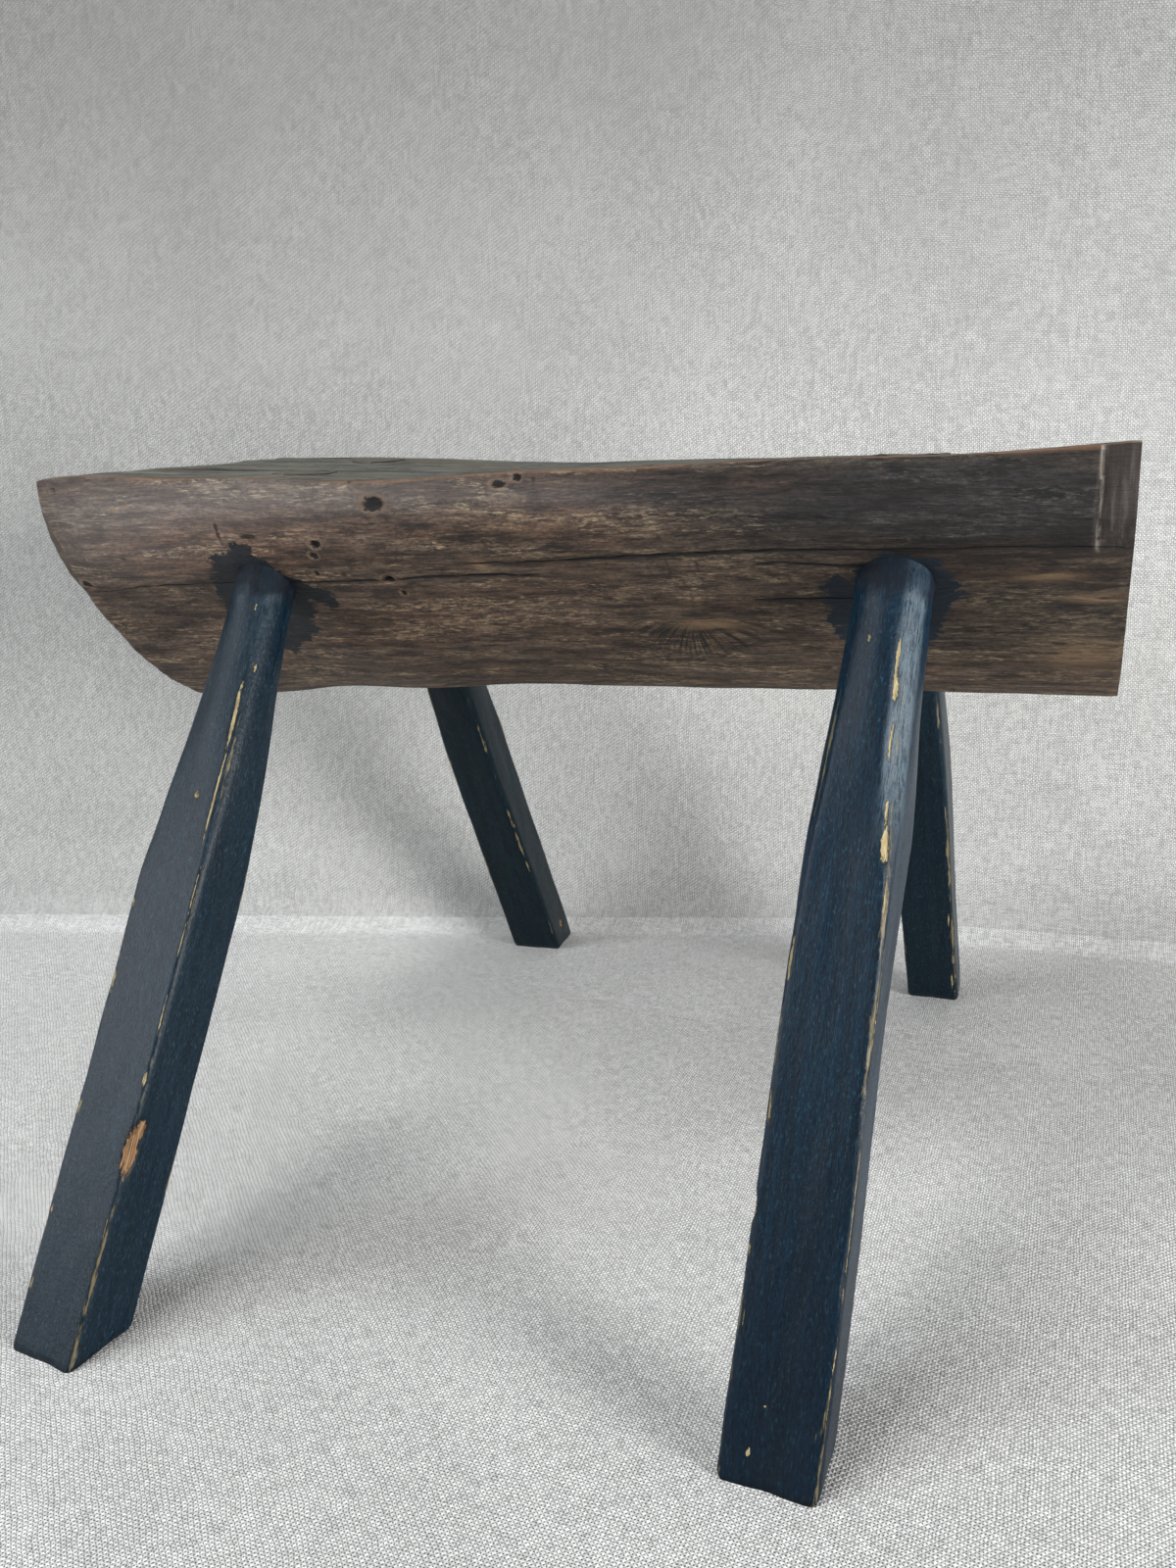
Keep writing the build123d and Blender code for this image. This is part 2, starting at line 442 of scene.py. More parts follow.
HOLE_DEPTH = 1.0  # hollows deeper than this are holes, dark inside
FAN = (84.0, 338.0)  # X and Z of the knot that the grain fans round
FAN_REACH, FAN_SWELL = 38.0, 0.9
LEFT_FLARE = 3.4  # how far the log widens at its left end
WORN_END_HEIGHT, WORN_END_DEPTH = 377.0, 5.5  # the front edge of the left end is worn back here
END_INSET = 0.8  # middles of the sawn ends, behind their rims

# Relief of the log's side and of its split face, each a noise, its cell and its height
side_waves = [
    (broad_noise, (110, 46, 34), 1.1), (middle_noise, (46, 15, 11), 0.45),
    (middle_noise, (24, 5, 4), 0.22), (fine_noise, (15, 3.2, 2.6), 0.16),
]
split_waves = [(broad_noise, (150, 16, 60), 0.75), (middle_noise, (70, 6.5, 30), 0.55)]
FURROW_CELL, FURROW_DEPTH = (46, 4.6, 30), 0.8


def front_ellipses(points, hollows):
    """For each hollow, how far points are from its middle, as a share of its size. 1 is its rim."""
    x, z = points[..., 0], points[..., 2]
    return [np.hypot((x - hx) / length, (z - hz) / height) for hx, hz, length, height, _ in hollows]


def log_relief(rings, normals):
    """How far the surface stands out from the plain log: waves, ridges of the grain and hollows."""
    side = 1 - ease(0.55, 0.9, normals[..., 2])
    front = ease(0.0, 0.3, -normals[..., 1])
    furrows = FURROW_DEPTH * np.clip(fine_noise(rings, FURROW_CELL) - 0.25, 0, 1)
    relief = side * relief_of(rings, side_waves) + (1 - side) * (relief_of(rings, split_waves) - furrows)
    for distance, hollow in zip(front_ellipses(rings, front_hollows), front_hollows):
        rim = 0.3 * hollow[4] * np.exp(-(((distance - 1.35) / 0.3) ** 2))
        relief += front * (rim - hollow[4] * (1 - ease(0.35, 1.15, distance)))
    from_knot = np.hypot(rings[..., 0] - FAN[0], (rings[..., 2] - FAN[1]) * 1.25)
    relief += front * FAN_SWELL * (1 - ease(0, FAN_REACH, from_knot))
    flare = (1 - ease(-284, -215, rings[..., 0])) * (1 - ease(378, 402, rings[..., 2]))
    return relief + LEFT_FLARE * flare * side


def wear_left_end(rings):
    """Wears the front edge of the left end back."""
    wear_and_sheen = (1 - ease(0, 30, rings[..., 0] + LOG_END)) * ease(70, 95, -rings[..., 1])
    wear_and_sheen *= np.exp(-(((rings[..., 2] - WORN_END_HEIGHT) / 19) ** 2))
    rings[..., :2] += WORN_END_DEPTH * wear_and_sheen[..., None]


def pare_flat(rings, grooves):
    """Pares the flat at the right end of the front face."""
    pared = (rings[..., 0] >= PARED_START) & (rings[..., 2] > PARED_LOW) & (rings[..., 1] < 0)
    flat = FRONT_EDGE + PARED_INSET + 0.25 * middle_noise(rings, (7, 7, 16))
    rings[..., 1] = np.where(pared & (grooves == 0), np.maximum(rings[..., 1], flat), rings[..., 1])


def sawn_end(ring, side, grooves):
    """Cap of one end, sawn a little unevenly, and its middle."""
    middle = np.array([side * (LOG_END - END_INSET), PITH[1], PITH[2]])
    fractions = np.concatenate([[0.993, 0.975], np.linspace(0.94, 0.06, 22)])
    caps = cap_rings(ring, middle, fractions)
    depth = 0.5 + 0.35 * middle_noise(caps, (9, 40, 3.5)) + 0.25 * fine_noise(caps, (9, 6, 6))
    inner = ease(1.0, 0.97, fractions)[:, None]
    spokes = np.maximum(grooves, 0) * ease(0.1, 0.6, fractions)[:, None]
    caps[..., 0] = side * (LOG_END - np.clip(depth, 0, 2) * inner - 0.6 * spokes)
    return caps, middle


def make_log(materials):
    rings, grooves, under_count = log_rings()
    normals = ring_normals(rings)
    near_end = 1 - ease(0, 3.5, LOG_END - np.abs(rings[..., 0]))
    on_edge = np.zeros(rings.shape[:2])
    for corner in (0, under_count - 1):
        on_edge[:, corner] = 0.5 + 0.5 * edge_noise(rings[:, corner], (14, 14, 14))
    rounding = on_edge + near_end * (0.4 + 0.5 * edge_noise(rings, (7, 7, 7)))
    relief = log_relief(rings, normals) * 0.9 - rounding - grooves
    rings = rings + normals * relief[..., None]
    wear_left_end(rings)
    pare_flat(rings, grooves)
    ends = sawn_end(rings[0], -1, grooves[0]), sawn_end(rings[-1], 1, grooves[-1])
    rings[..., 0] = np.clip(rings[..., 0], -LOG_END, LOG_END)
    rings[..., 2] = np.minimum(rings[..., 2], SEAT_TOP - 0.05)
    slots = (np.arange(rings.shape[1]) >= under_count - 1).astype(int)
    return loft("seat_log_weathered", rings, ends, slots, (2, 2), materials)


# Legs. For each: the turn of its section, its faces' distances from its line at the foot and above the
# middle (right, back, left and front), and how deep its front arrises are planed off, by share of the
# way from the floor to the neck. skew turns the right face, in degrees, by the same share, and lean
# moves the leg sideways, by share of the way to the log. rounding is where it turns round.
TENON_RADIUS, BORE_GAP = 17.0, 0.12
NECK_SWELL = 0.9  # how much wider than its tenon the round neck of a leg is
plain_cut = [(0, 0.7), (0.6, 1.0), (0.8, 2.0), (1, 2.5)]
plain_leg = {
    "skew": [(0, 0.0)], "lean": [(0, 0.0)], "left_cut": plain_cut,
    "rounding": (0.62, 1.0), "neck": TENON_RADIUS,
}
legs = {
    "front_left": {
        **plain_leg, "turn": -6.8, "seed": 1, "foot": (21.0, 17.5, 22.2, 16.8), "head": (21.2, 17, 22.6, 17),
        "right_cut": [(0, 0.9), (0.55, 1.0), (0.62, 1.6), (0.73, 3.2), (0.9, 3.8), (1, 4.2)],
        "lean": [(0, -1.0), (0.4, -1.6), (0.75, -2.6), (0.9, -5.0), (1, -7.8)],
        "rounding": (0.60, 0.99), "neck": 15.2,
    },
    "front_right": {
        **plain_leg, "turn": -3.2, "seed": 2, "foot": (22.9, 16.5, 20.6, 13.8), "head": (20.1, 17, 21, 17),
        "right_cut": [(0, 0.8), (0.58, 1.0), (0.66, 2.2), (0.74, 5.0), (0.82, 7.6), (0.9, 8.4), (1, 9.0)],
        "left_cut": [(0, 0.7), (0.5, 0.8), (0.62, 2.0), (0.78, 4.4), (1, 5.2)],
        "skew": [(0, 2.0), (0.55, 1.6), (0.8, -2.5)], "rounding": (0.72, 1.0),
    },
    "back_left": {
        **plain_leg, "turn": 4.6, "seed": 3, "foot": (22.5, 16.4, 19, 17.5), "head": (18, 17, 18.6, 17),
        "right_cut": [(0, 1.2), (0.5, 2.2), (1, 4.0)], "skew": [(0, 1.5), (0.5, -1.0), (0.8, -3.0)],
    },
    "back_right": {
        **plain_leg, "turn": 1.3, "seed": 4, "foot": (20, 12, 17.6, 13), "head": (19.2, 17, 19.2, 17),
        "right_cut": [(0, 1.0), (0.5, 1.6), (1, 3.0)],
    },
}
RIGHT_ARRIS, LEFT_ARRIS = math.radians(315), math.radians(225)  # directions of the front arrises
AROUND_FACE = 24  # points across each face of a leg
LEG_ROWS = 200
NECK_LENGTH = 14.0
ARRIS_POWER = 54
SHEEN_SIDE = math.radians(320)  # where a highlight is painted, a little to the right of the arris
LEAST_SHEEN_CUT, WIDEST_CUT = 3.0, 7.6  # a highlight is painted where an arris is planed off this deep


def unit(vector):
    return np.asarray(vector, float) / np.linalg.norm(vector)


def turned_from(angles, direction):
    """Angle between directions, from 0 to half a turn."""
    return np.abs((angles - direction + math.pi) % (2 * math.pi) - math.pi)


class LegAxes:
    """The line of a leg, from the middle of its foot to the middle of its wedge, and its two sides."""

    def __init__(self, name):
        mounts = {mount["name"]: mount for mount in frame["record"]["mounts"]}
        self.foot = np.array(mounts["floor_" + name]["pos_m"]) / MM
        low, high = (np.array(corner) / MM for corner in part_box("wedge_" + name))
        self.up = unit((low + high) / 2 - self.foot)
        turn = math.radians(legs[name]["turn"])
        level = np.array([math.cos(turn), math.sin(turn), 0.0])
        self.across = unit(level - self.up * (self.up @ level))
        self.deep = np.cross(self.up, self.across)
        self.lean_line = [(0, 0.0)]

    def set_lean(self, name, into, out):
        """Lets the leg lean sideways below the log. Its tenon comes back to its place at the split face."""
        self.lean_line = [(share * into, lean) for share, lean in legs[name]["lean"]] + [(out, 0.0)]

    def place(self, along, across, deep):
        across = across + between(self.lean_line, along)
        along, across, deep = (np.asarray(value)[..., None] for value in (along, across, deep))
        return self.foot + along * self.up + across * self.across + deep * self.deep

    def local(self, points):
        """Distance up the leg, and place across and deep in its section."""
        offset = points - self.foot
        along = offset @ self.up
        return along, offset @ self.across - between(self.lean_line, along), offset @ self.deep


def log_span(axes, tree):
    """Distances up a leg to the underside of the log and to the split face."""
    into = tree.ray_cast(Vector(axes.foot * MM), Vector(axes.up))[3] / MM
    return into, seat_heights(axes, tree, np.zeros(1), np.zeros(1))[0]


def seat_heights(axes, tree, across, deep):
    """Distances up a leg to the split face, for lines beside its axis."""
    down, beyond = -Vector(axes.up), SEAT_TOP * 2
    starts = [Vector(place * MM) for place in axes.place(beyond, across, deep)]
    return np.array([beyond - tree.ray_cast(start, down)[3] / MM for start in starts])


def leg_angles():
    """Directions round a leg, closer together at the arrises."""
    share = np.sin(np.linspace(-1, 1, AROUND_FACE + 1)[:-1] * math.pi / 2)
    return np.concatenate([np.arctan(share) + math.pi / 2 * k for k in range(4)])


def leg_faces(name, share):
    """Distances from a leg's line to its right, back, left and front faces, by share of the way up."""
    rise = ease(0.0, 0.62, share)
    return [foot * (1 - rise) + head * rise for foot, head in zip(legs[name]["foot"], legs[name]["head"])]


def skew_at(name, share):
    return np.radians(between(legs[name]["skew"], share))


def right_corner(name, faces, deep, share):
    """Place across of a corner of the right face, which is skewed."""
    skew = skew_at(name, share)
    return (faces[0] - deep * np.sin(skew)) / np.cos(skew)


def leg_radius(name, angles, along, neck):
    """Distance from a leg's line to its surface."""
    leg = legs[name]
    share = np.clip(along / neck, 0, 1)
    faces = leg_faces(name, share)
    right_front = right_corner(name, faces, -faces[3], share)
    planes = [(skew_at(name, share) if k == 0 else math.pi / 2 * k, face) for k, face in enumerate(faces)]
    arrises = (RIGHT_ARRIS, right_front, leg["right_cut"]), (LEFT_ARRIS, faces[2], leg["left_cut"])
    for direction, corner, cut in arrises:
        reach = corner * abs(math.cos(direction)) + faces[3] * abs(math.sin(direction))
        planes.append((direction, reach - between(cut, share)))
    total = sum(np.maximum(np.cos(angles - turn) / reach, 0) ** ARRIS_POWER for turn, reach in planes)
    start, end = leg["rounding"]
    rounding = np.clip((share - start) / (end - start), 0, 1)
    rounding = 0.25 * ease(0, 1, rounding) + 0.75 * rounding
    return total ** (-1 / ARRIS_POWER) * (1 - rounding) + (leg["neck"] + NECK_SWELL) * rounding


# Unevenness of the legs, each a noise, its cell and its height
leg_waves = [
    (broad_noise, (95, 30, 30), 0.55), (middle_noise, (26, 9, 9), 0.28), (fine_noise, (9, 2.6, 2.6), 0.1),
]
SEED_SHIFT = 97.0  # between the places of two legs in the noises
FAR_OFF = 9.0  # stands for no chip, crack or arris nearby


# Chips in the paint, bare down to the wood: (along, across, deep, half length, half width, depth)
leg_chips = {
    "front_left": [
        (98, 20.0, -14.5, 14, 4.0, 1.4), (109, 21.0, -12.5, 6, 3.2, 0.8), (279, 3.3, -17, 2.8, 2.0, 0.5),
        (256, 20.4, 6.5, 2.2, 1.4, 0.4), (247, 20.4, -6.7, 2.0, 1.4, 0.4), (324, 15.8, -17, 21, 1.0, 0.5),
        (352, 19.0, -12, 3.6, 1.0, 0.3), (385, 12.5, -17, 2.4, 0.8, 0.3), (280, 16.2, -17, 27, 0.6, 0.3),
        (228, 19.2, -17, 16, 0.45, 0.3), (205, 19.8, -17, 12, 0.4, 0.3), (166, 20, -17, 14, 0.5, 0.3),
        (134, 19.4, -17, 4, 1.0, 0.3), (62, 20, -17, 9, 0.45, 0.3),
        (60, -20, -17, 3, 0.7, 0.4), (24, -20, -17, 4, 0.7, 0.4), (112, -20.4, -17, 6, 0.8, 0.3),
        (176, -20.6, -17, 9, 0.8, 0.3), (218, -20.6, -17, 4, 0.8, 0.3), (250, 9, -17, 1.2, 0.9, 0.2),
        (150, 6, -17, 1.4, 0.8, 0.2),
    ],
    "front_right": [
        (269, 16.3, -17, 9, 2.2, 0.7), (283, 15.5, -17, 6, 1.0, 0.4), (352, 10.2, -17, 15, 1.0, 0.4),
        (338, 11.6, -17, 6, 1.5, 0.4), (315, 13.0, -17, 12, 0.8, 0.4), (246, 18.6, -16, 10, 0.8, 0.4),
        (205, 20.5, -14, 36, 0.6, 0.3), (120, 22.5, -13.2, 60, 0.7, 0.4), (45, 23, -13, 42, 1.0, 0.5),
        (84, 23, -13, 20, 1.1, 0.5), (107, -20.3, -13.0, 7.5, 2.7, 0.9), (88, -19.6, -14.5, 5, 0.8, 0.4),
        (62, -19, -14.5, 16, 0.5, 0.3), (8, -8.5, -14, 2.4, 0.9, 0.4), (360, -4.5, -17, 2.4, 1.0, 0.3),
        (214, -19, -16, 14, 0.8, 0.3), (150, -19, -15.5, 10, 0.7, 0.3), (28, -4.0, -14, 1.0, 0.8, 0.2),
    ],
    "back_left": [
        (180, -19.5, -16, 6, 0.6, 0.3), (110, 18.5, -16, 8, 0.3, 0.3), (20, 18, 2, 5, 3, 0.6),
    ],
    "back_right": [
        (28, 18, -14, 11, 0.7, 0.4), (95, 18.5, -16, 10, 0.4, 0.3), (150, -18, -16, 6, 0.6, 0.3),
        (200, 18.5, -16, 7, 0.4, 0.3),
    ],
}


def chip_distance(name, along, across, deep):
    """How far points are from the nearest chip, 1 at its rim, how wide it is, and the dent there."""
    turned, reach = np.arctan2(deep, across), np.hypot(across, deep)
    breadth, dent = np.zeros((2, *np.shape(along)))
    nearest = breadth + FAR_OFF
    for s, a, b, length, width, depth in leg_chips[name]:
        beside = reach * turned_from(turned, math.atan2(b, a))
        distance = np.hypot((along - s) / length, beside / width)
        breadth = np.where(distance < nearest, width, breadth)
        nearest = np.minimum(nearest, distance)
        dent = np.maximum(dent, depth * (1 - ease(0.5, 1.1, distance)))
    return nearest, breadth, dent


def leg_rings(name, axes, tree, into, out):
    """Rings of a leg, whose lines run from the level floor to the split face."""
    neck, angles = into - NECK_LENGTH, leg_angles()
    cross, deep = polar(leg_radius(name, angles, np.zeros(len(angles)), neck), angles)
    low = -(axes.foot[2] + cross * axes.across[2] + deep * axes.deep[2]) / axes.up[2]
    high = seat_heights(axes, tree, *polar(TENON_RADIUS, angles))
    steps = np.linspace(0, 1, LEG_ROWS)[:, None]
    along = low + (high - low) * steps
    radius = leg_radius(name, angles, along, neck)
    spot = np.stack([along, *polar(radius, angles)], axis=-1)
    shifted = spot + np.array([0, 0, SEED_SHIFT * legs[name]["seed"]])
    lumps = 0.9 * ease(into - 26, into - 6, along) * middle_noise(shifted, (5.5, 4, 4))
    dent = chip_distance(name, *np.moveaxis(spot, -1, 0))[2]
    foot_wear = 1.1 * (1 - ease(0, 3.0, along - low)) * (1 + 0.6 * edge_noise(shifted, (8, 8, 8)))
    inside = ease(into - 1.5, into + 1.0, along)
    radius = radius + (relief_of(shifted, leg_waves) + lumps - dent - foot_wear) * (1 - inside)
    tenon = np.interp(along, (into, out), (legs[name]["neck"], TENON_RADIUS))
    radius = radius * (1 - inside) + tenon * inside
    rings = axes.place(along + 0.5 * ease(0.98, 1.0, steps), *polar(radius, angles))
    rings[0][:, 2] = 0
    return rings


def rough_top(ring, fractions, cell, rough, proud):
    """Cap of a tenon or wedge where it was cut off at the split face, and its middle."""
    middle = ring.mean(axis=0)
    caps = cap_rings(ring, middle, fractions)
    caps[..., 2] += rough * fine_noise(caps, cell) + proud
    return np.minimum(caps, [np.inf, np.inf, SEAT_TOP - 0.1]), middle


def make_leg(name, tree, materials):
    axes = LegAxes(name)
    into, out = log_span(axes, tree)
    axes.set_lean(name, into, out)
    rings = leg_rings(name, axes, tree, into, out)
    foot_middle = [*axes.foot[:2], 0]
    foot_cap = cap_rings(rings[0], foot_middle, np.linspace(0.9, 0.1, 7)), foot_middle
    top_cap = rough_top(rings[-1], [0.97, *np.linspace(0.92, 0.06, 9)], (2.6, 2.6, 9), 0.25, 0.2)
    leg = loft("painted_leg_" + name, rings, (foot_cap, top_cap), 0, (0, 2), materials)
    return leg, axes, into, out


# Wedges, driven into a kerf across each tenon
WEDGE_LENGTH, WEDGE_TOP, WEDGE_TIP = 32.0, 5.0, 1.2
WEDGE_STEPS, ARC_STEPS, FLAT_STEPS = 14, 6, 18


def wedge_rings(axes, out, heights, gap, overrun):
    """Rings of a wedge from its tip to the split face, grown by a gap on each face."""
    ends = np.linspace(-1, 1, ARC_STEPS)
    flat = np.linspace(1, -1, FLAT_STEPS)[1:-1]
    sides = np.concatenate([ends, np.ones(len(flat)), -ends, -np.ones(len(flat))])
    radius = TENON_RADIUS + 8 * gap - 0.1
    half_width = math.sqrt(radius**2 - (WEDGE_TOP / 2) ** 2)
    widths = np.concatenate([ends * 0 + 1, flat, ends * 0 - 1, -flat]) * half_width
    tip = out - WEDGE_LENGTH
    tops = heights(sides * WEDGE_TOP / 2, widths) + overrun
    slope = (WEDGE_TOP - WEDGE_TIP) / 2 / WEDGE_LENGTH
    rings = []
    for share in np.linspace(0, 1, WEDGE_STEPS):
        along = tip - gap + (tops - tip + gap) * share
        half = np.maximum(WEDGE_TIP / 2 + slope * (along - tip), WEDGE_TIP / 2) + gap
        round_end = np.sqrt(np.maximum(radius**2 - (sides * half) ** 2, 0))
        across_grain = np.where(np.abs(widths) >= half_width, np.sign(widths) * round_end, widths)
        rings.append(axes.place(along, sides * half, across_grain))
    return np.array(rings)


def make_wedge(name, axes, out, heights, materials):
    rings = wedge_rings(axes, out, heights, 0.0, 0.4)
    top_cap = rough_top(rings[-1], [0.95, *np.linspace(0.88, 0.1, 6)], (2, 2, 9), 0.3, 0.15)
    return loft("driven_wedge_" + name, rings, (blunt_cap(rings[0]), top_cap), 0, (0, 0), materials)


def kerf_cutter(axes, out, heights):
    rings = wedge_rings(axes, out, heights, BORE_GAP, 15.0)
    return loft("kerf", rings, (blunt_cap(rings[0]), blunt_cap(rings[-1])), 1, (1, 1))


def bore_cutter(axes, narrow, into, out, overrun=40.0, steps=96):
    """Round shape that bores a mortise at a leg's own angle, as wide as its tenon."""
    turn = np.linspace(0, 2 * math.pi, steps, endpoint=False)
    stations = (into - overrun, narrow), (into, narrow), (out, TENON_RADIUS), (out + overrun, TENON_RADIUS)
    rings = np.array([
        axes.place(np.full(steps, along), *polar(radius + BORE_GAP, turn)) for along, radius in stations
    ])
    return loft("bore", rings, (blunt_cap(rings[0]), blunt_cap(rings[-1])), 3, (3, 3))


# Fields that the materials read, one number for each point of a mesh
def outline_distance(x, z, outline):
    """Distance to a closed outline, negative inside it."""
    corners = np.array(outline, float)
    nearest, crossings = np.full(x.shape, np.inf), np.zeros(x.shape, int)
    for (ax, az), (bx, bz) in zip(corners, np.roll(corners, -1, axis=0)):
        square = (bx - ax) ** 2 + (bz - az) ** 2
        along = np.clip(((x - ax) * (bx - ax) + (z - az) * (bz - az)) / square, 0, 1)
        nearest = np.minimum(nearest, np.hypot(x - ax - along * (bx - ax), z - az - along * (bz - az)))
        if az != bz:
            beside = x < ax + (z - az) * (bx - ax) / (bz - az)
            crossings += ((az > z) != (bz > z)) & beside
    return np.where(crossings % 2 == 1, -nearest, nearest)


def spots(x, z, places):
    """Sum of soft spots, each (X, Z, half length, half height, amount)."""
    total = 0
    for px, pz, length, height, amount in places:
        total = total + amount * np.exp(-(((x - px) / length) ** 2) - ((z - pz) / height) ** 2)
    return total


# Paint that ran off the front legs onto the log, outlines in X and Z
paint_outlines = [
    [(-190, 357), (-198, 345), (-198, 332), (-192, 321), (-175, 310), (-155.5, 321), (-144, 328),
     (-141, 334), (-133, 345), (-127.6, 344.5), (-117, 342), (-120, 352), (-132, 358), (-144, 366),
     (-147, 372), (-151, 378), (-162, 380), (-179, 373)],
    [(152.5, 350.6), (154, 358.5), (161, 362.5), (168, 358), (169, 365), (174, 368), (184, 371.5),
     (196, 371.5), (206, 368), (211, 363), (217, 350), (210.5, 347), (209, 338), (204, 328), (180, 320),
     (156, 328), (152.5, 338)],
]
# Zones and spots of the front face: (X, Z, half length, half height, amount)
log_zones = {
    # sheen: painted sheen along the top of the front face, mostly on the left
    "sheen": [
        (-200, 380, 80, 14, 0.25), (-235, 402, 75, 20, 1.0), (-140, 404, 60, 12, 0.9),
        (-50, 405, 70, 9, 0.8), (40, 402, 40, 8, 0.5), (-250, 372, 60, 14, 0.5),
    ],
    "blueing": [
        (190, 398, 95, 24, 1.0), (250, 390, 70, 20, 0.7), (90, 402, 50, 9, 0.5), (-60, 385, 70, 18, 0.22),
    ],
    "shade": [
        (200, 400, 145, 38, 1.0), (262, 332, 110, 56, 1.0), (60, 310, 120, 26, 0.25), (0, 404, 60, 9, 0.3),
    ],
    "warmth": [
        (-215, 372, 55, 14, 0.8), (132, 404, 26, 5, 1.0), (-150, 384, 60, 14, 0.7), (30, 392, 60, 10, 0.5),
        (228, 368, 60, 12, 0.7), (-60, 330, 120, 16, 0.3),
    ],
    "flecks": [
        (-180, 374, 60, 12, 0.35), (-20, 384, 60, 10, 0.7), (190, 412, 60, 3, 0.6), (20, 347, 90, 9, 0.9),
        (-70, 322, 60, 12, 0.8), (60, 312, 60, 14, 0.9), (240, 345, 40, 10, 0.9), (110, 385, 40, 9, 0.5),
        (262, 320, 22, 18, 0.9),
    ],
    "dark": [
        (-69.2, 399.8, 7.2, 4.4, 1.2), (10.8, 410.8, 2.6, 1.8, 1.2), (0.8, 407.8, 4.0, 1.8, 1.0),
        (-82.7, 412.4, 1.6, 2.2, 1.0), (-108.3, 379.5, 2.6, 1.7, 1.4), (-112.1, 373.6, 2.2, 1.6, 0.7),
        (-117.3, 363.5, 1.6, 1.3, 1.2), (-76.0, 359.9, 3.2, 1.6, 1.3), (-72.2, 351.8, 1.6, 1.4, 1.3),
        (-87.7, 355.2, 1.2, 1.0, 1.0), (-42.6, 344.3, 1.3, 1.0, 1.0), (-127.6, 392.8, 9.0, 2.4, 0.5),
        (-147.9, 383.6, 7.0, 2.2, 0.8), (-274.8, 410.7, 1.8, 1.3, 1.0), (-262.4, 406.0, 1.6, 1.2, 0.9),
        (-254.4, 407.7, 1.4, 1.1, 0.9), (19.0, 408.0, 1.0, 5.0, 0.7), (-239.0, 371.8, 2.4, 1.4, 0.7),
        (-221.3, 368.1, 2.2, 1.3, 0.7), (80.0, 370.0, 0.9, 13.0, 0.7), (95.5, 365.0, 1.0, 12.0, 0.6),
        (-167.4, 386.5, 0.8, 8.0, 0.8), (84.0, 340.0, 12.0, 4.0, 0.5), (108.0, 377.5, 1.5, 5.0, 0.4),
    ],
    "pale": [
        (-18.8, 367.9, 5.0, 2.6, 1.0), (-233.4, 399.6, 1.6, 0.9, 1.4), (-224.7, 401.6, 1.6, 0.9, 1.4),
        (-278.9, 356.6, 3.2, 1.8, 1.4), (92.0, 334.5, 18.0, 3.2, 0.9), (-75.0, 406.5, 3.0, 0.9, 0.8),
        (253.0, 361.5, 12.0, 2.0, 0.7), (274.0, 351.0, 14.0, 2.0, 0.8), (267.0, 318.0, 18.0, 10.0, 0.7),
    ],
}


def bent_grain(points):
    """Places in the log's grain, which runs along X and bends round the knots."""
    x, z = points[:, 0], points[:, 2]
    front = 1 - ease(-40, 20, points[:, 1])
    grain = points.astype(float)
    for hx, hz, length, height, _ in front_hollows[:7]:
        distance = np.hypot((x - hx) / (length * 1.6), (z - hz) / (height * 1.6))
        grain[:, 2] += front * np.sign(z - hz) * height * 0.9 * np.exp(-(distance**2))
    grain[:, 2] += 1.6 * broad_noise(points, (90, 60, 40)) + 0.6 * middle_noise(points, (36, 20, 14))
    grain[:, 1] += 1.6 * broad_noise(points + 50, (90, 60, 40))
    return grain


def fan_fields(points):
    """Grain that fans out round a knot: how near it is, and places along and across its lines."""
    dx, dz = points[:, 0] - FAN[0], points[:, 2] - FAN[1]
    reach, turned = np.hypot(dx * 0.8, dz * 1.25), np.arctan2(dz, dx)
    near = ease(2, 7, reach) * (1 - ease(FAN_REACH * 0.5, FAN_REACH, reach)) * ease(-2, 4, -dz)
    lines = np.stack([reach, (turned + 0.012 * reach * np.cos(turned)) * 40, points[:, 1] * 0], axis=-1)
    return {"fan": near * (points[:, 1] < -5), "fan_lines": lines * MM}


def groove_distance(points, grooves, across):
    """Distance to the nearest crack, less where the crack is closed."""
    nearest = np.full(len(points), FAR_OFF)
    for line, size in grooves:
        middle = line_at(line, np.clip(points[:, 0], -LINES_END, LINES_END))
        closed = FAR_OFF * (1 - ease(0.3, 1.5, between(size, points[:, 0], 2)))
        distance = np.abs(points[:, across] - middle) - between(size, points[:, 0]) / 2 + closed
        nearest = np.minimum(nearest, distance)
    return nearest


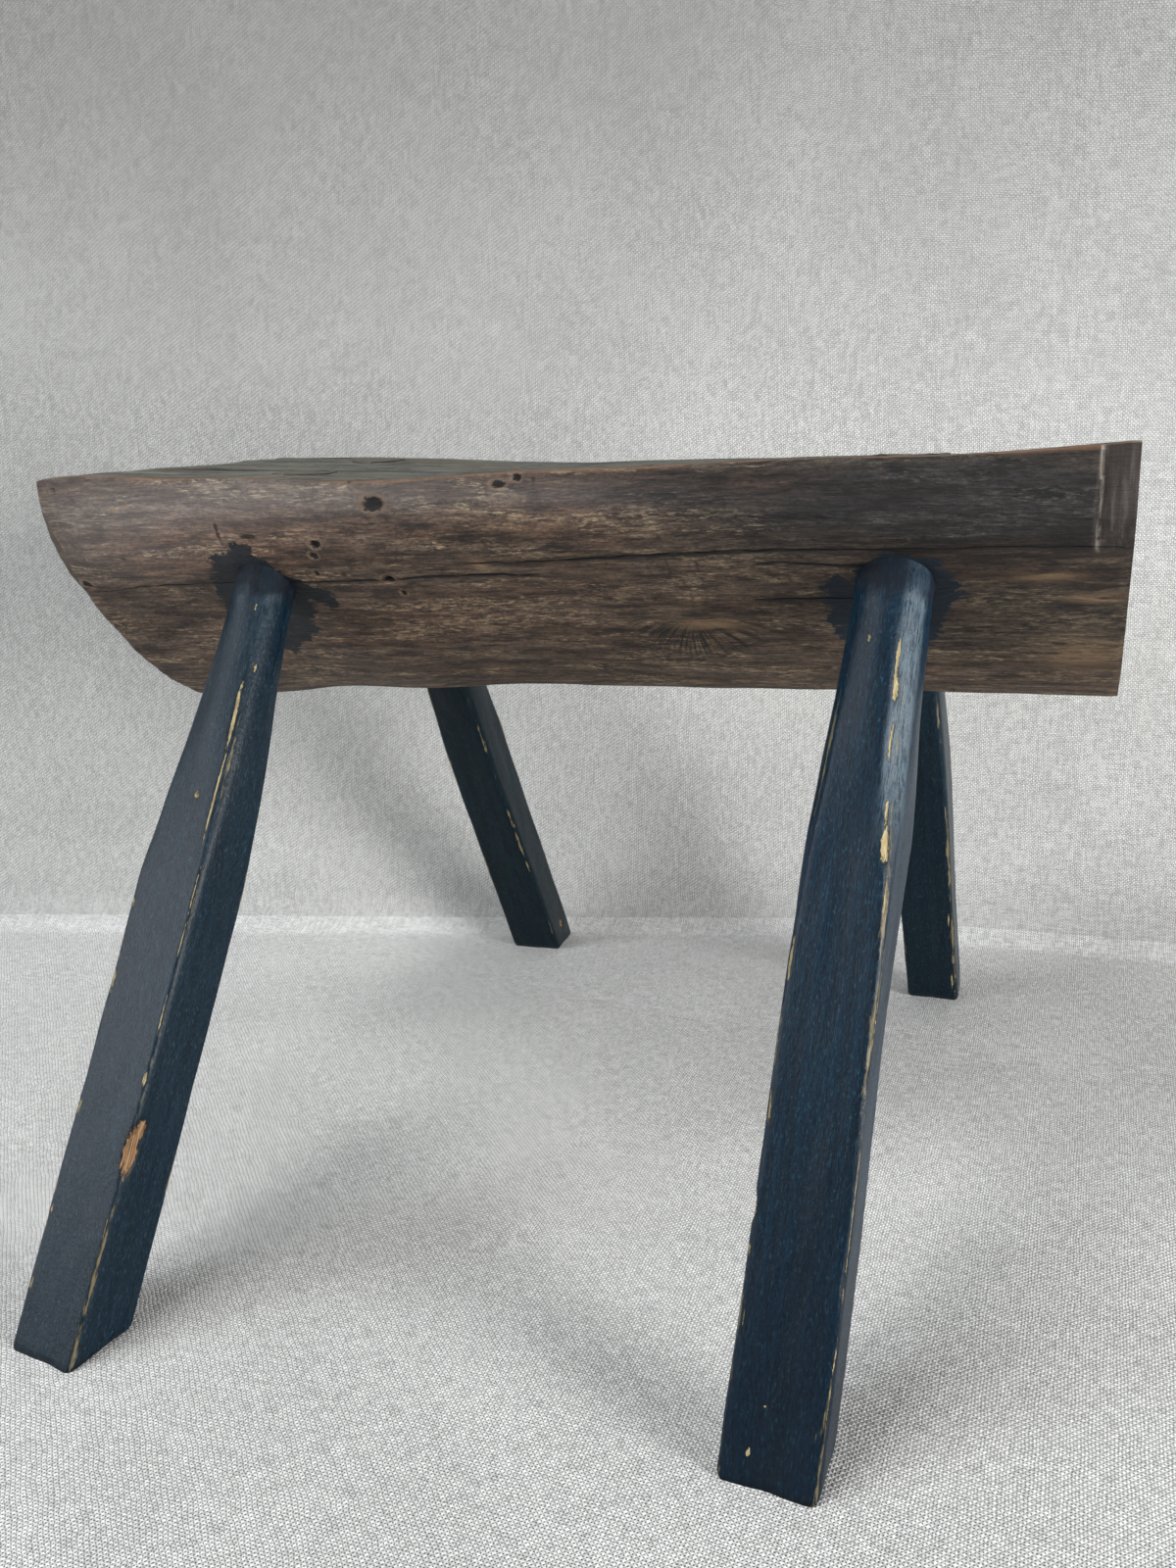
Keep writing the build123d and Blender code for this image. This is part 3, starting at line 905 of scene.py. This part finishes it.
def store_log_fields(mesh):
    points = vertex_points(mesh)
    x, y, z = points.T
    front = 1 - ease(-60, -20, y)
    top = line_at(front_edge_line, np.clip(x, -LINES_END, LINES_END))
    paint = np.minimum(*(outline_distance(x, z, outline) for outline in paint_outlines))
    holes = [hollow for hollow in front_hollows if hollow[4] > HOLE_DEPTH]
    knot = np.min(front_ellipses(points, holes), axis=0)
    crack = np.where(y < -15, groove_distance(points, cracks, 2), FAR_OFF)
    ring = [np.hypot(y - PITH[1], z - PITH[2]), np.arctan2(z - PITH[2], y - PITH[1]) * 60, x]
    beside_flat = ease(PARED_LOW - 2.5, PARED_LOW, z) * (y < 0)
    store(mesh, {
        "grain": bent_grain(points) * MM,
        **fan_fields(points),
        "paint": np.clip(np.where(y < -25, paint, 20.0), -20, 20),
        "navy": ease(-5, 5, x),
        **{name: front * spots(x, z, places) for name, places in log_zones.items()},
        "knot": np.where(y < -50, np.minimum(knot, 3.0), 3.0),
        "crack": np.where(z > top - 3.5, groove_distance(points, checks, 1), crack),
        "edge": np.hypot(np.maximum(y - FRONT_EDGE, 0), np.maximum(top - z, 0)),
        "ring": np.stack(ring, axis=-1) * MM,
        "pared": np.where(x > PARED_START - 0.2, beside_flat, 0.0),
        "lip": beside_flat * (1 - ease(0.3, 1.2, np.abs(x - PARED_START - 0.3))),
    })


def arris_distance(name, share, across, deep):
    """Distance round a leg's surface to its nearest arris."""
    faces = leg_faces(name, share)
    turned, nearest = np.arctan2(deep, across), np.full(len(share), FAR_OFF)
    for side, front in itertools.product((1, -1), repeat=2):
        corner_deep = faces[1] if front > 0 else -faces[3]
        corner_across = right_corner(name, faces, corner_deep, share) if side > 0 else -faces[2]
        beside = np.abs(turned - np.arctan2(corner_deep, corner_across)) * np.hypot(across, deep)
        nearest = np.minimum(nearest, beside)
    return nearest


def store_leg_fields(mesh, name, axes, into):
    points = vertex_points(mesh)
    along, across, deep = axes.local(points)
    share = np.clip(along / (into - NECK_LENGTH), 0, 1)
    nearest, breadth, _ = chip_distance(name, along, across, deep)
    planed = ease(LEAST_SHEEN_CUT, WIDEST_CUT, between(legs[name]["right_cut"], share))
    from_arris = turned_from(np.arctan2(deep, across), SHEEN_SIDE)
    # painted shade on the back legs, which stand under the log
    grime_and_shade = {"back_left": 1.0, "back_right": 0.3}.get(name, 0.0)
    store(mesh, {
        "grain": np.stack([along + 500.0 * legs[name]["seed"], across, deep], axis=-1) * MM,
        "chip": np.minimum(nearest, 3.0),
        "breadth": breadth,
        "blue": np.full(len(along), float(name == "front_right")),
        "painted_shade_under_log": np.full(len(along), grime_and_shade),
        "to_log": into - along,
        "foot": points[:, 2],
        "arris": arris_distance(name, share, across, deep),
        # painted highlight on the planed front arrises
        "wear_and_sheen": planed * (1 - ease(math.radians(15), math.radians(26), from_arris)),
    })


# Materials
def screen(*levels):
    """Linear colour of a screen's red, green and blue levels, 0 to 255."""
    shares = np.array(levels) / 255
    linear = np.where(shares <= 0.04045, shares / 12.92, ((shares + 0.055) / 1.055) ** 2.4)
    return (*(float(value) for value in linear), 1.0)


class Value:
    """A number or colour that a material works out at each point."""

    def __init__(self, shades, socket):
        self.shades, self.socket = shades, socket

    def __add__(self, other):
        return self.shades.math("ADD", self, other)

    def __sub__(self, number):
        return self + -number

    def __mul__(self, other):
        return self.shades.math("MULTIPLY", self, other)

    def step(self, low, high):
        """0 at low and 1 at high, smooth between them."""
        inputs = {"Value": self, "From Min": low, "From Max": high}
        return self.shades.value("MapRange", inputs, interpolation_type="SMOOTHSTEP")


class Shades:
    """Builds a material from nodes, its colour coat by coat.

    Cells are the sizes of a texture's features, in millimetres. A colour is a value or a screen's levels.
    """

    def __init__(self, name, grain="grain"):
        self.material = bpy.data.materials.new(name)
        self.material.use_nodes = True
        self.tree = self.material.node_tree
        self.tree.nodes.clear()
        self.grain = self.field(grain, "Vector") if grain else self.value("NewGeometry", (), "Position")
        self.colour = None

    def value(self, kind, inputs=(), output=0, **settings):
        node = self.tree.nodes.new("ShaderNode" + kind)
        for key, setting in settings.items():
            setattr(node, key, setting)
        for key, given in dict(inputs).items():
            if isinstance(given, Value):
                self.tree.links.new(given.socket, node.inputs[key])
            else:
                node.inputs[key].default_value = given
        return Value(self, node.outputs[output] if node.outputs else None)

    def field(self, name, output="Fac"):
        return self.value("Attribute", (), output, attribute_name=name)

    def noise(self, cell, detail=3, roughness=0.6, shift=0, grain=None):
        scale = [1 / (MM * side) for side in cell]
        inputs = {"Vector": grain or self.grain, "Scale": scale, "Location": [shift] * 3}
        places = self.value("Mapping", inputs)
        inputs = {"Vector": places, "Scale": 1, "Detail": detail, "Roughness": roughness}
        return self.value("TexNoise", inputs)

    def math(self, operation, first, second=0):
        return self.value("Math", {0: first, 1: second}, operation=operation)

    def mix(self, share, first, second, kind="MIX"):
        inputs = {0: share, 6: first, 7: second}
        return self.value("Mix", inputs, 2, data_type="RGBA", blend_type=kind, clamp_factor=True)

    def coat(self, share, colour):
        """Lays a colour over the one so far, where share is 1."""
        colour = colour if isinstance(colour, Value) else screen(*colour)
        self.colour = self.mix(share, self.colour, colour)

    def tint(self, share, *gains):
        """Multiplies the red, green and blue of the colour so far by their gains, where share is 1."""
        self.colour = self.mix(share, self.colour, (*gains, 1), "MULTIPLY")

    def ramp(self, value, *stops, linear=False):
        ramp = self.value("ValToRGB", {0: value})
        elements = ramp.socket.node.color_ramp.elements
        while len(elements) < len(stops):
            elements.new(1.0)
        for element, (place, colour) in zip(elements, stops):
            element.position = place
            element.color = (*colour, 1) if linear else screen(*colour)
        return ramp

    def finish(self, roughness, height, depth, specular=0.4, clear_behind=False):
        """Ends the material. depth is the height of the bumps in millimetres."""
        bump = self.value("Bump", {"Height": height, "Distance": depth * MM, "Strength": 1})
        inputs = {"Base Color": self.colour, "Roughness": roughness, "Normal": bump}
        surface = self.value("BsdfPrincipled", {**inputs, "Specular IOR Level": specular})
        if clear_behind:
            behind = self.value("NewGeometry", (), "Backfacing")
            surface = self.value("MixShader", {0: behind, 1: surface, 2: self.value("BsdfTransparent")})
        self.value("OutputMaterial", {"Surface": surface})
        return self.material


def weather_log_side(wood, fibres, grit, mottle):
    """Pale flecks, grime and fibres, the darker zones of painted shade, the painted sheen, and the bluer and
    warmer zones.
    """
    patches = wood.noise((70, 16, 12), shift=3) + wood.field("flecks") * 0.13
    fleck = wood.noise((8, 1.8, 1.5), 5, 0.72, 5).step(0.515, 0.575)
    wood.coat(fleck * patches.step(0.50, 0.60) * 0.80, (152, 131, 104))
    speck = wood.noise((4.5, 1.0, 0.8), 3, 0.7, 6).step(0.58, 0.66)
    wood.coat(speck * patches.step(0.46, 0.60) * 0.55, (176, 156, 128))
    grime_and_shade = wood.noise((22, 2.4, 2.0), 5, 0.72, 9).step(0.53, 0.63)
    wood.tint(grime_and_shade * mottle.step(0.40, 0.56), 0.38, 0.36, 0.36)
    wood.tint(fibres.step(0.44, 0.32), 0.45, 0.43, 0.43)
    wood.tint(fibres.step(0.56, 0.68), 1.35, 1.33, 1.30)
    wood.tint(grit.step(0.49, 0.39), 0.50, 0.48, 0.47)
    wood.tint(grit.step(0.53, 0.64), 1.60, 1.54, 1.45)
    hairs = wood.noise((17, 1.2, 1.0), 3, 0.66, 31)
    wood.tint(hairs.step(0.42, 0.34), 0.50, 0.48, 0.48)
    wood.coat(hairs.step(0.60, 0.70) * 0.22, (142, 122, 94))
    wood.tint(wood.field("shade"), 0.50, 0.54, 0.56)
    # painted sheen: lighter, greyer and bluer where the sheen zone lies
    wood.tint(wood.field("sheen"), 1.28, 1.48, 1.74)
    wood.coat(wood.field("sheen") * 0.32, (126, 119, 116))
    wood.tint(wood.field("blueing"), 0.36, 0.44, 0.60)


def mark_log_side(wood, waves, streaks, fibres, grit):
    """The fanned grain, spots, holes, cracks, the bare edge and the pared flat. Gives the fan's ribs."""
    lines = wood.noise((30, 3.6, 9), shift=11, grain=wood.field("fan_lines", "Vector"))
    ribs = lines.step(0.51, 0.45) * wood.field("fan")
    wood.tint(ribs, 0.13, 0.12, 0.12)
    wood.tint(lines.step(0.54, 0.62) * wood.field("fan"), 1.25, 1.22, 1.15)
    wood.coat(wood.field("pale") * streaks.step(0.34, 0.52), (150, 122, 92))
    dark = wood.field("dark") + (streaks - 0.5) * 1.6
    wood.tint(dark.step(0.20, 0.75), 0.13, 0.12, 0.13)
    knot = wood.field("knot") + (grit - 0.5) * 1.6
    wood.coat(knot.step(1.50, 1.15) * 0.6, (118, 99, 82))
    wood.coat(knot.step(1.02, 0.74), (15, 13, 13))
    # painted shade beside and inside the cracks
    crack = wood.field("crack") + (fibres - 0.5) * 1.4
    wood.tint(crack.step(1.6, 0.1), 0.60, 0.57, 0.55)
    wood.coat(crack.step(0.30, -0.15), (9, 8, 8))
    wood.coat(wood.field("edge").step(2.2, 0.5) * waves.step(0.45, 0.55) * 0.55, (128, 96, 74))
    scraped = wood.noise((2.6, 6, 30), 5, 0.7, 14)
    pared = wood.ramp(scraped, (0.34, (30, 25, 22)), (0.52, (52, 44, 39)), (0.70, (82, 76, 74)))
    wood.coat(wood.field("pared") * 0.88, pared)
    wood.coat(wood.field("lip") * scraped.step(0.40, 0.54), (138, 130, 120))
    return ribs


def log_side_material():
    wood = Shades("log_side")
    waves = wood.noise((120, 20, 13))
    mottle = wood.noise((24, 8, 7), 6, 0.68, 2)
    streaks = wood.noise((30, 3.2, 2.6), 5, 0.72)
    fibres = wood.noise((11, 0.9, 0.7), 4, 0.7)
    pores = wood.noise((2.6, 0.5, 0.4), 3, 0.7, 7)
    grit = wood.noise((3.4, 1.4, 1.2), 4, 0.76, 21)
    browns = (0.33, (47, 37, 31)), (0.46, (80, 65, 54)), (0.57, (100, 84, 70)), (0.70, (128, 111, 94))
    wood.colour = wood.ramp(streaks, *browns)
    wood.tint(waves.step(0.42, 0.62), 0.72, 0.64, 0.58)
    wood.tint(mottle.step(0.50, 0.60), 0.44, 0.40, 0.39)
    wood.tint(mottle.step(0.45, 0.36), 1.36, 1.33, 1.28)
    wood.tint(wood.field("warmth"), 1.25, 0.95, 0.78)
    weather_log_side(wood, fibres, grit, mottle)
    ribs = mark_log_side(wood, waves, streaks, fibres, grit)
    # Paint that ran off the legs
    blots = wood.noise((9, 6, 6), 5, 0.68, 17)
    ragged = wood.field("paint") + (blots - 0.5) * 20
    painted = (ragged + (fibres - 0.5) * 6).step(0.6, -0.6)
    run = wood.mix(wood.field("navy"), screen(4, 14, 23), screen(0, 21, 36))
    wood.coat(painted * (blots.step(0.62, 0.42) * 0.08 + 0.92), run)
    height = streaks * 0.9 + fibres * 0.7 + pores * 0.25 + painted * 0.12 + mottle * 0.8
    return wood.finish(streaks * 0.3 + 0.50, height + ribs * -0.5 + grit * 0.5, 1.3, 0.3)


def log_top_material():
    wood = Shades("log_top")
    waves = wood.noise((180, 26, 60))
    streaks = wood.noise((70, 3.2, 20), 5, 0.7)
    fibres = wood.noise((22, 0.9, 8), 4, 0.7)
    greys = (0.34, (62, 63, 58)), (0.46, (92, 93, 87)), (0.57, (112, 112, 104)), (0.68, (134, 132, 122))
    wood.colour = wood.ramp(streaks, *greys)
    wood.tint(waves.step(0.44, 0.64), 0.85, 0.75, 0.66)
    wood.tint(fibres.step(0.43, 0.31), 0.30, 0.30, 0.30)
    wood.tint(fibres.step(0.56, 0.70), 1.30, 1.28, 1.25)
    grit = wood.noise((12, 2.0, 3), 4, 0.72, 21)
    wood.tint(grit.step(0.47, 0.37), 0.50, 0.50, 0.50)
    wood.tint(grit.step(0.54, 0.66), 1.45, 1.42, 1.38)
    grime_and_shade = wood.noise((90, 4.5, 30), 4, 0.7, 9)
    wood.tint(grime_and_shade.step(0.54, 0.64), 0.42, 0.42, 0.42)
    # painted shade in furrows and painted light on ridges across the split face
    furrows = wood.noise((70, 26, 60), 5, 0.74, 27)
    wood.tint(furrows.step(0.53, 0.60), 0.42, 0.42, 0.41)
    wood.tint(furrows.step(0.47, 0.40), 1.30, 1.28, 1.22)
    # painted shade beside and inside the checks
    crack = wood.field("crack") + (fibres - 0.5) * 2
    wood.tint(crack.step(3.2, 0.0), 0.45, 0.43, 0.40)
    wood.coat(crack.step(0.5, -0.2), (12, 11, 10))
    wear_and_sheen = wood.field("edge") + (waves - 0.5) * 70
    wood.tint(wear_and_sheen.step(18.0, 2.0), 1.12, 0.86, 0.66)
    wood.coat(wood.field("edge").step(3.2, 0.8) * streaks.step(0.40, 0.54) * 0.7, (146, 104, 80))
    return wood.finish(streaks * 0.3 + 0.55, streaks + fibres * 0.8, 1.4)


def end_grain_material(name, light, dark, ring_width, grain="ring"):
    """Sawn end grain: rings, rays and the saw's marks."""
    wood = Shades(name, grain)
    rings = wood.noise((ring_width, 90, 400), 3, 0.7)
    rays = wood.noise((60, 1.6, 400), shift=4)
    blotches = wood.noise((34, 34, 400), shift=8)
    fine = wood.noise((0.8, 0.8, 400), 3, 0.7, 2)
    wood.colour = wood.ramp(rings, (0.36, dark), (0.62, light))
    wood.coat(rays.step(0.58, 0.72) * 0.45, light)
    wood.coat(blotches.step(0.46, 0.64) * 0.6, dark)
    wood.coat(fine.step(0.45, 0.32) * 0.5, (34, 28, 24))
    return wood.finish(blotches * 0.25 + 0.65, rings + rays * 0.6 + fine * 0.5, 0.6)


def bare_wood_material(name, light, dark):
    wood = Shades(name)
    streaks = wood.noise((40, 2.2, 2.2), 4)
    fibres = wood.noise((9, 0.6, 0.6))
    wood.colour = wood.ramp(streaks, (0.36, dark), (0.64, light))
    wood.coat(fibres.step(0.44, 0.32) * 0.5, dark)
    return wood.finish(streaks * 0.2 + 0.6, streaks + fibres * 0.5, 0.4)


def chip_leg(leg, grain, dust):
    """Painted highlight on the planed arrises, rubbed arrises and chips. Gives where the wood is bare."""
    # painted highlight: pale blue-grey on the planed front arrises
    wear_and_sheen = leg.field("wear_and_sheen") * grain.step(0.36, 0.56)
    leg.coat(wear_and_sheen * 0.75, (82, 97, 106))
    uneven = (dust - 0.5) * 8 + (grain - 0.5) * 4
    rubbed = (leg.field("arris") + uneven).step(0.35, -0.5) * leg.field("to_log").step(40, 90)
    leg.coat(rubbed * 0.75, (118, 106, 76))
    nibbles = leg.noise((3.4, 1.2, 1.2), 4, 0.7, 15)
    chip = leg.field("chip") + ((nibbles - 0.40) * 1.5 + (grain - 0.5) * 0.8)
    bare = chip.step(1.04, 0.94)
    wood_grain = leg.noise((14, 0.8, 0.8), 4, 0.7, 12)
    deep = leg.ramp(wood_grain, (0.36, (62, 44, 30)), (0.50, (108, 80, 54)), (0.64, (152, 122, 88)))
    pale = leg.ramp(wood_grain, (0.34, (98, 88, 64)), (0.50, (144, 130, 96)), (0.64, (178, 164, 126)))
    wood = leg.mix(leg.field("breadth").step(3.2, 2.2), deep, pale)
    leg.tint(chip.step(1.40, 1.08), 0.50, 0.54, 0.56)
    leg.coat(bare, wood)
    return bare


def leg_paint_material():
    leg = Shades("leg_paint")
    brush = leg.noise((120, 4.0, 4.0), 4)
    grain = leg.noise((9, 0.8, 0.8), 4, 0.7)
    skin = leg.noise((1.8, 3.4, 3.4), shift=3)
    pebbles = leg.noise((3.0, 1.1, 1.1), 4, 0.7, 9)
    dust = leg.noise((40, 12, 12), 4, 0.65, 6)
    leg.colour = leg.ramp(brush, (0.32, (3, 20, 30)), (0.52, (6, 26, 38)), (0.70, (11, 32, 45)))
    leg.coat(dust.step(0.50, 0.72) * 0.22, (26, 46, 56))
    leg.tint(grain.step(0.46, 0.34), 0.55, 0.58, 0.60)
    leg.coat(grain.step(0.60, 0.74) * 0.32, (50, 68, 78))
    leg.tint(pebbles.step(0.48, 0.38), 0.50, 0.52, 0.54)
    leg.coat(pebbles.step(0.56, 0.68) * 0.34, (68, 88, 100))
    # painted shade: the back legs darker and greener under the log
    leg.tint(leg.field("painted_shade_under_log"), 0.35, 0.62, 0.56)
    leg.tint(leg.field("blue"), 0.55, 1.06, 1.20)
    # painted shade: the front right leg darker towards its foot
    leg.tint(leg.field("foot").step(190, 20) * leg.field("blue"), 0.50, 0.62, 0.66)
    bare = chip_leg(leg, grain, dust)
    # thick paint and painted shade where the legs go into the log, darker and rougher there
    paint_and_shade_at_log = (leg.field("to_log") + (dust - 0.5) * 30).step(15, 6)
    leg.tint(paint_and_shade_at_log, 0.20, 0.30, 0.38)
    leg.tint((leg.field("foot") + dust * 6).step(6.5, 2.5), 0.45, 0.42, 0.40)
    roughness = skin * 0.16 + 0.26 + (bare + paint_and_shade_at_log) * 0.35
    height = brush * 0.35 + grain * 0.45 + skin * 0.25 + bare * -0.5 + pebbles * 0.5
    return leg.finish(roughness, height, 0.42, 0.18)


FLOOR_TONE, WALL_TONE = (0.77, 0.77, 0.755), (0.57, 0.57, 0.552)
THREAD = 1.5  # from one thread of the cloth to the next


def cloth_material(name, tone, gaps):
    """Plain woven cloth with painted shade: less bright higher up, to the left and along its bend. gaps is
    how dark its gaps are, up to 1.

    It is clear from behind, so that the wall doesn't hide the stool from there.
    """
    cloth = Shades(name, None)
    slubs = (cloth.noise((9, 1.4, 1.4), 2) + cloth.noise((1.4, 9, 9), 2, shift=4)) * 0.5
    blotches = cloth.noise((120, 120, 160), 3, 0.5)
    waver = cloth.noise((16, 16, 16), 4, 0.7, 8) * 2.2
    x, y, z = (cloth.value("SeparateXYZ", {0: cloth.grain}, axis) for axis in range(3))
    turns = [place * (1 / (THREAD * MM)) + waver for place in (x, y + z)]
    profiles = [cloth.math("SINE", turn * math.pi) for turn in turns]
    seams = [cloth.math("ABSOLUTE", profile) * -1 + 1 for profile in profiles]
    crossing = profiles[0] * profiles[1] * 0.5 + 0.5
    dull, bright = ([(1 + gaps * change) * level for level in tone] for change in (-0.24, 0.22))
    cloth.colour = cloth.ramp(slubs * 0.86 + blotches * 0.14, (0.41, dull), (0.59, bright), linear=True)
    cloth.tint(crossing.step(0.60, 0.10) * (gaps * 0.8), 0.50, 0.50, 0.50)
    cloth.tint((seams[0] * seams[1]).step(0.08, 0.40) * gaps, 0.10, 0.10, 0.11)
    # painted shade: the wall darker higher up
    cloth.tint(z.step(0.25, 0.85), 0.50, 0.50, 0.50)
    # painted shade along the bend between floor and wall
    cloth.tint(z.step(0.0, 0.008) * z.step(0.07, 0.02), 0.84, 0.84, 0.84)
    # painted shade: the wall darker towards the left
    cloth.tint(z.step(0.0, 0.12) * x.step(0.40, -0.60), 0.80, 0.80, 0.79)
    height = slubs * 0.8 + crossing * (0.25 * gaps)
    return cloth.finish(slubs * 0.1 + 0.85, height, 0.8, clear_behind=True)


# Backdrop: a pale cloth that hangs behind the stool and runs forward over the floor
wall_line = [
    (-3000, -480), (-1500, -60), (-667, 190), (-260, 300), (-100, 345), (100, 395), (350, 412), (900, 425),
    (3000, 430),
]
CLOTH_BEND, CLOTH_HEIGHT, FLOOR_REACH = 34.0, 3000.0, 2600.0
BEND_MARGIN = 20.0  # of the cloth on each side of its bend, before its rows spread out
FLOOR_BEHIND = -0.4  # height of the floor that is seen behind the wall, in views from behind
WALL_WAVES, CREASE_DEPTH = 9.0, 0.7


def backdrop_points(x, wall):
    """Points of the cloth by column and row, and how many rows lie on the floor."""
    turn = np.linspace(0, math.pi / 2, 9)
    share = np.concatenate([np.linspace(0, 0.63, 12), np.linspace(0.64, 1, 130)])
    rise = np.linspace(CLOTH_BEND + BEND_MARGIN, CLOTH_HEIGHT, 60)
    floor_y = (wall[:, None] - CLOTH_BEND - BEND_MARGIN) * share - FLOOR_REACH * (1 - share)
    wall_y = wall[:, None] + np.concatenate([-CLOTH_BEND + CLOTH_BEND * np.sin(turn), rise * 0])
    height = np.concatenate([share * 0, CLOTH_BEND - CLOTH_BEND * np.cos(turn), rise])
    y = np.hstack([floor_y, wall_y])
    points = np.stack([np.repeat(x[:, None], len(height), 1), y, np.tile(height, (len(x), 1))], axis=-1)
    on_wall = ease(60, 400, points[..., 2])
    points[..., 1] += on_wall * WALL_WAVES * broad_noise(points * [1, 0, 0.15], (170, 100, 100))
    creases = 1 - ease(0.0, 0.07, np.abs(middle_noise(points + [40, 0, 0], (420, 90, 400))))
    points[..., 2] -= (1 - on_wall) * (points[..., 2] < 1) * CREASE_DEPTH * creases
    return points, len(share) + len(turn) // 2


def make_backdrop():
    outer = np.linspace(900, FLOOR_REACH, 24)
    x = np.concatenate([-outer[::-1], np.linspace(-880, 880, 177), outer])
    wall = line_at(wall_line, x)
    points, floor_rows = backdrop_points(x, wall)
    columns, rows = points.shape[:2]
    index = np.arange(columns * rows).reshape(columns, rows).T
    mesh = new_mesh("backdrop", points.reshape(-1, 3), strips(index).tolist())
    set_slots(mesh, np.repeat(np.arange(rows - 1) >= floor_rows, columns - 1))
    mesh.polygons.foreach_set("use_smooth", np.ones(len(mesh.polygons), bool))
    cloths = cloth_material("floor_cloth", FLOOR_TONE, 1.0), cloth_material("wall_cloth", WALL_TONE, 0.85)
    new_object("backdrop", mesh, cloths)
    near = np.stack([x, wall - CLOTH_BEND, wall * 0 + FLOOR_BEHIND], axis=-1)
    far = near * [1, 0, 1] + [0, FLOOR_REACH, 0]
    index = np.arange(2 * columns).reshape(2, columns)
    mesh = new_mesh("floor_behind", np.concatenate([near, far]), strips(index).tolist())
    new_object("floor_behind", mesh, cloths[:1])


# Lamps: name, place, target, side in metres, power in watts and colour
lamps = [
    ("key", (-2.0, -1.7, 0.9), (-0.1, 0.0, 0.15), 1.2, 40, (0.92, 0.98, 1.05)),
    ("window", (-1.5, -1.6, 1.8), (-0.1, 0.0, 0.15), 1.0, 20, (1, 1, 1)),
    ("fill", (2.3, -0.85, 0.55), (0.1, 0.0, 1.6), 0.9, 108, (1, 1, 1)),
    ("overhead", (-0.5, -1.0, 2.3), (-0.05, -0.1, 0.0), 0.6, 20, (1, 1, 1)),
]
WORLD_LIGHT, WORLD_SEEN = (0.07, 0.07, 0.07), (0.45, 0.45, 0.44)


def make_lamp(name, place, target, side, power, colour):
    data = bpy.data.lights.new(name, "AREA")
    data.shape = "SQUARE"
    data.size = side
    data.energy = power
    data.color = colour
    lamp = bpy.data.objects.new(name, data)
    aim = Vector(target) - Vector(place)
    lamp.matrix_world = Matrix.Translation(place) @ aim.to_track_quat("-Z", "Y").to_matrix().to_4x4()
    bpy.context.scene.collection.objects.link(lamp)


def make_world():
    """Plain light from all round, and the paler background that is seen behind the floor."""
    world = bpy.data.worlds.new("world")
    world.use_nodes = True
    nodes, links = world.node_tree.nodes, world.node_tree.links
    rays = nodes.new("ShaderNodeLightPath").outputs
    seen = rays["Is Camera Ray"]
    for kind in ("Is Glossy Ray", "Is Transmission Ray"):
        either = nodes.new("ShaderNodeMath")
        either.operation = "MAXIMUM"
        links.new(seen, either.inputs[0])
        links.new(rays[kind], either.inputs[1])
        seen = either.outputs[0]
    mix = nodes.new("ShaderNodeMix")
    mix.data_type = "RGBA"
    links.new(seen, mix.inputs[0])
    mix.inputs[6].default_value = (*WORLD_LIGHT, 1)
    mix.inputs[7].default_value = (*WORLD_SEEN, 1)
    links.new(mix.outputs[2], nodes["Background"].inputs["Color"])
    bpy.context.scene.world = world


# The stool
SMOOTH_UP_TO = math.radians(36)  # edges stay sharp where faces meet at more than this


def flat_tree(thing):
    """Search tree of an object's mesh, in metres."""
    shape = bmesh.new()
    shape.from_mesh(thing.data)
    tree = BVHTree.FromBMesh(shape)
    shape.free()
    return tree


def stand_for(thing, node):
    """Puts a finished piece in the place of its CAD body."""
    thing.data.polygons.foreach_set("use_smooth", np.ones(len(thing.data.polygons), bool))
    thing.data.set_sharp_from_angle(angle=SMOOTH_UP_TO)
    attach(thing, "root")
    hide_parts(node)


def build_stool():
    bore_wood = bare_wood_material("bore_wood", (120, 98, 72), (70, 54, 40))
    log_end = end_grain_material("log_end", (98, 86, 73), (52, 43, 37), 2.4)
    log = make_log((log_side_material(), log_top_material(), log_end, bore_wood))
    tree = flat_tree(log)
    paint = leg_paint_material()
    tenon_end = end_grain_material("tenon_end", (104, 100, 90), (62, 59, 54), 1.6, "grain")
    kerf_wood = bare_wood_material("kerf_wood", (132, 108, 78), (80, 62, 44))
    wedge_wood = bare_wood_material("wedge_wood", (112, 104, 90), (70, 64, 56))
    bores = []
    for name in legs:
        leg, axes, into, out = make_leg(name, tree, (paint, kerf_wood, tenon_end))
        heights = functools.partial(seat_heights, axes, tree)
        cut_away(leg, [kerf_cutter(axes, out, heights)])
        store_leg_fields(leg.data, name, axes, into)
        stand_for(leg, "leg_" + name)
        wedge = make_wedge(name, axes, out, heights, (wedge_wood,))
        store(wedge.data, {"grain": np.stack(axes.local(vertex_points(wedge.data)), axis=-1) * MM})
        stand_for(wedge, "wedge_" + name)
        bores.append(bore_cutter(axes, legs[name]["neck"], into, out))
    cut_away(log, bores)
    store_log_fields(log.data)
    stand_for(log, "seat_log")


build_stool()
make_backdrop()
for lamp_settings in lamps:
    make_lamp(*lamp_settings)
make_world()

bpy.context.scene.view_settings.view_transform = "Standard"
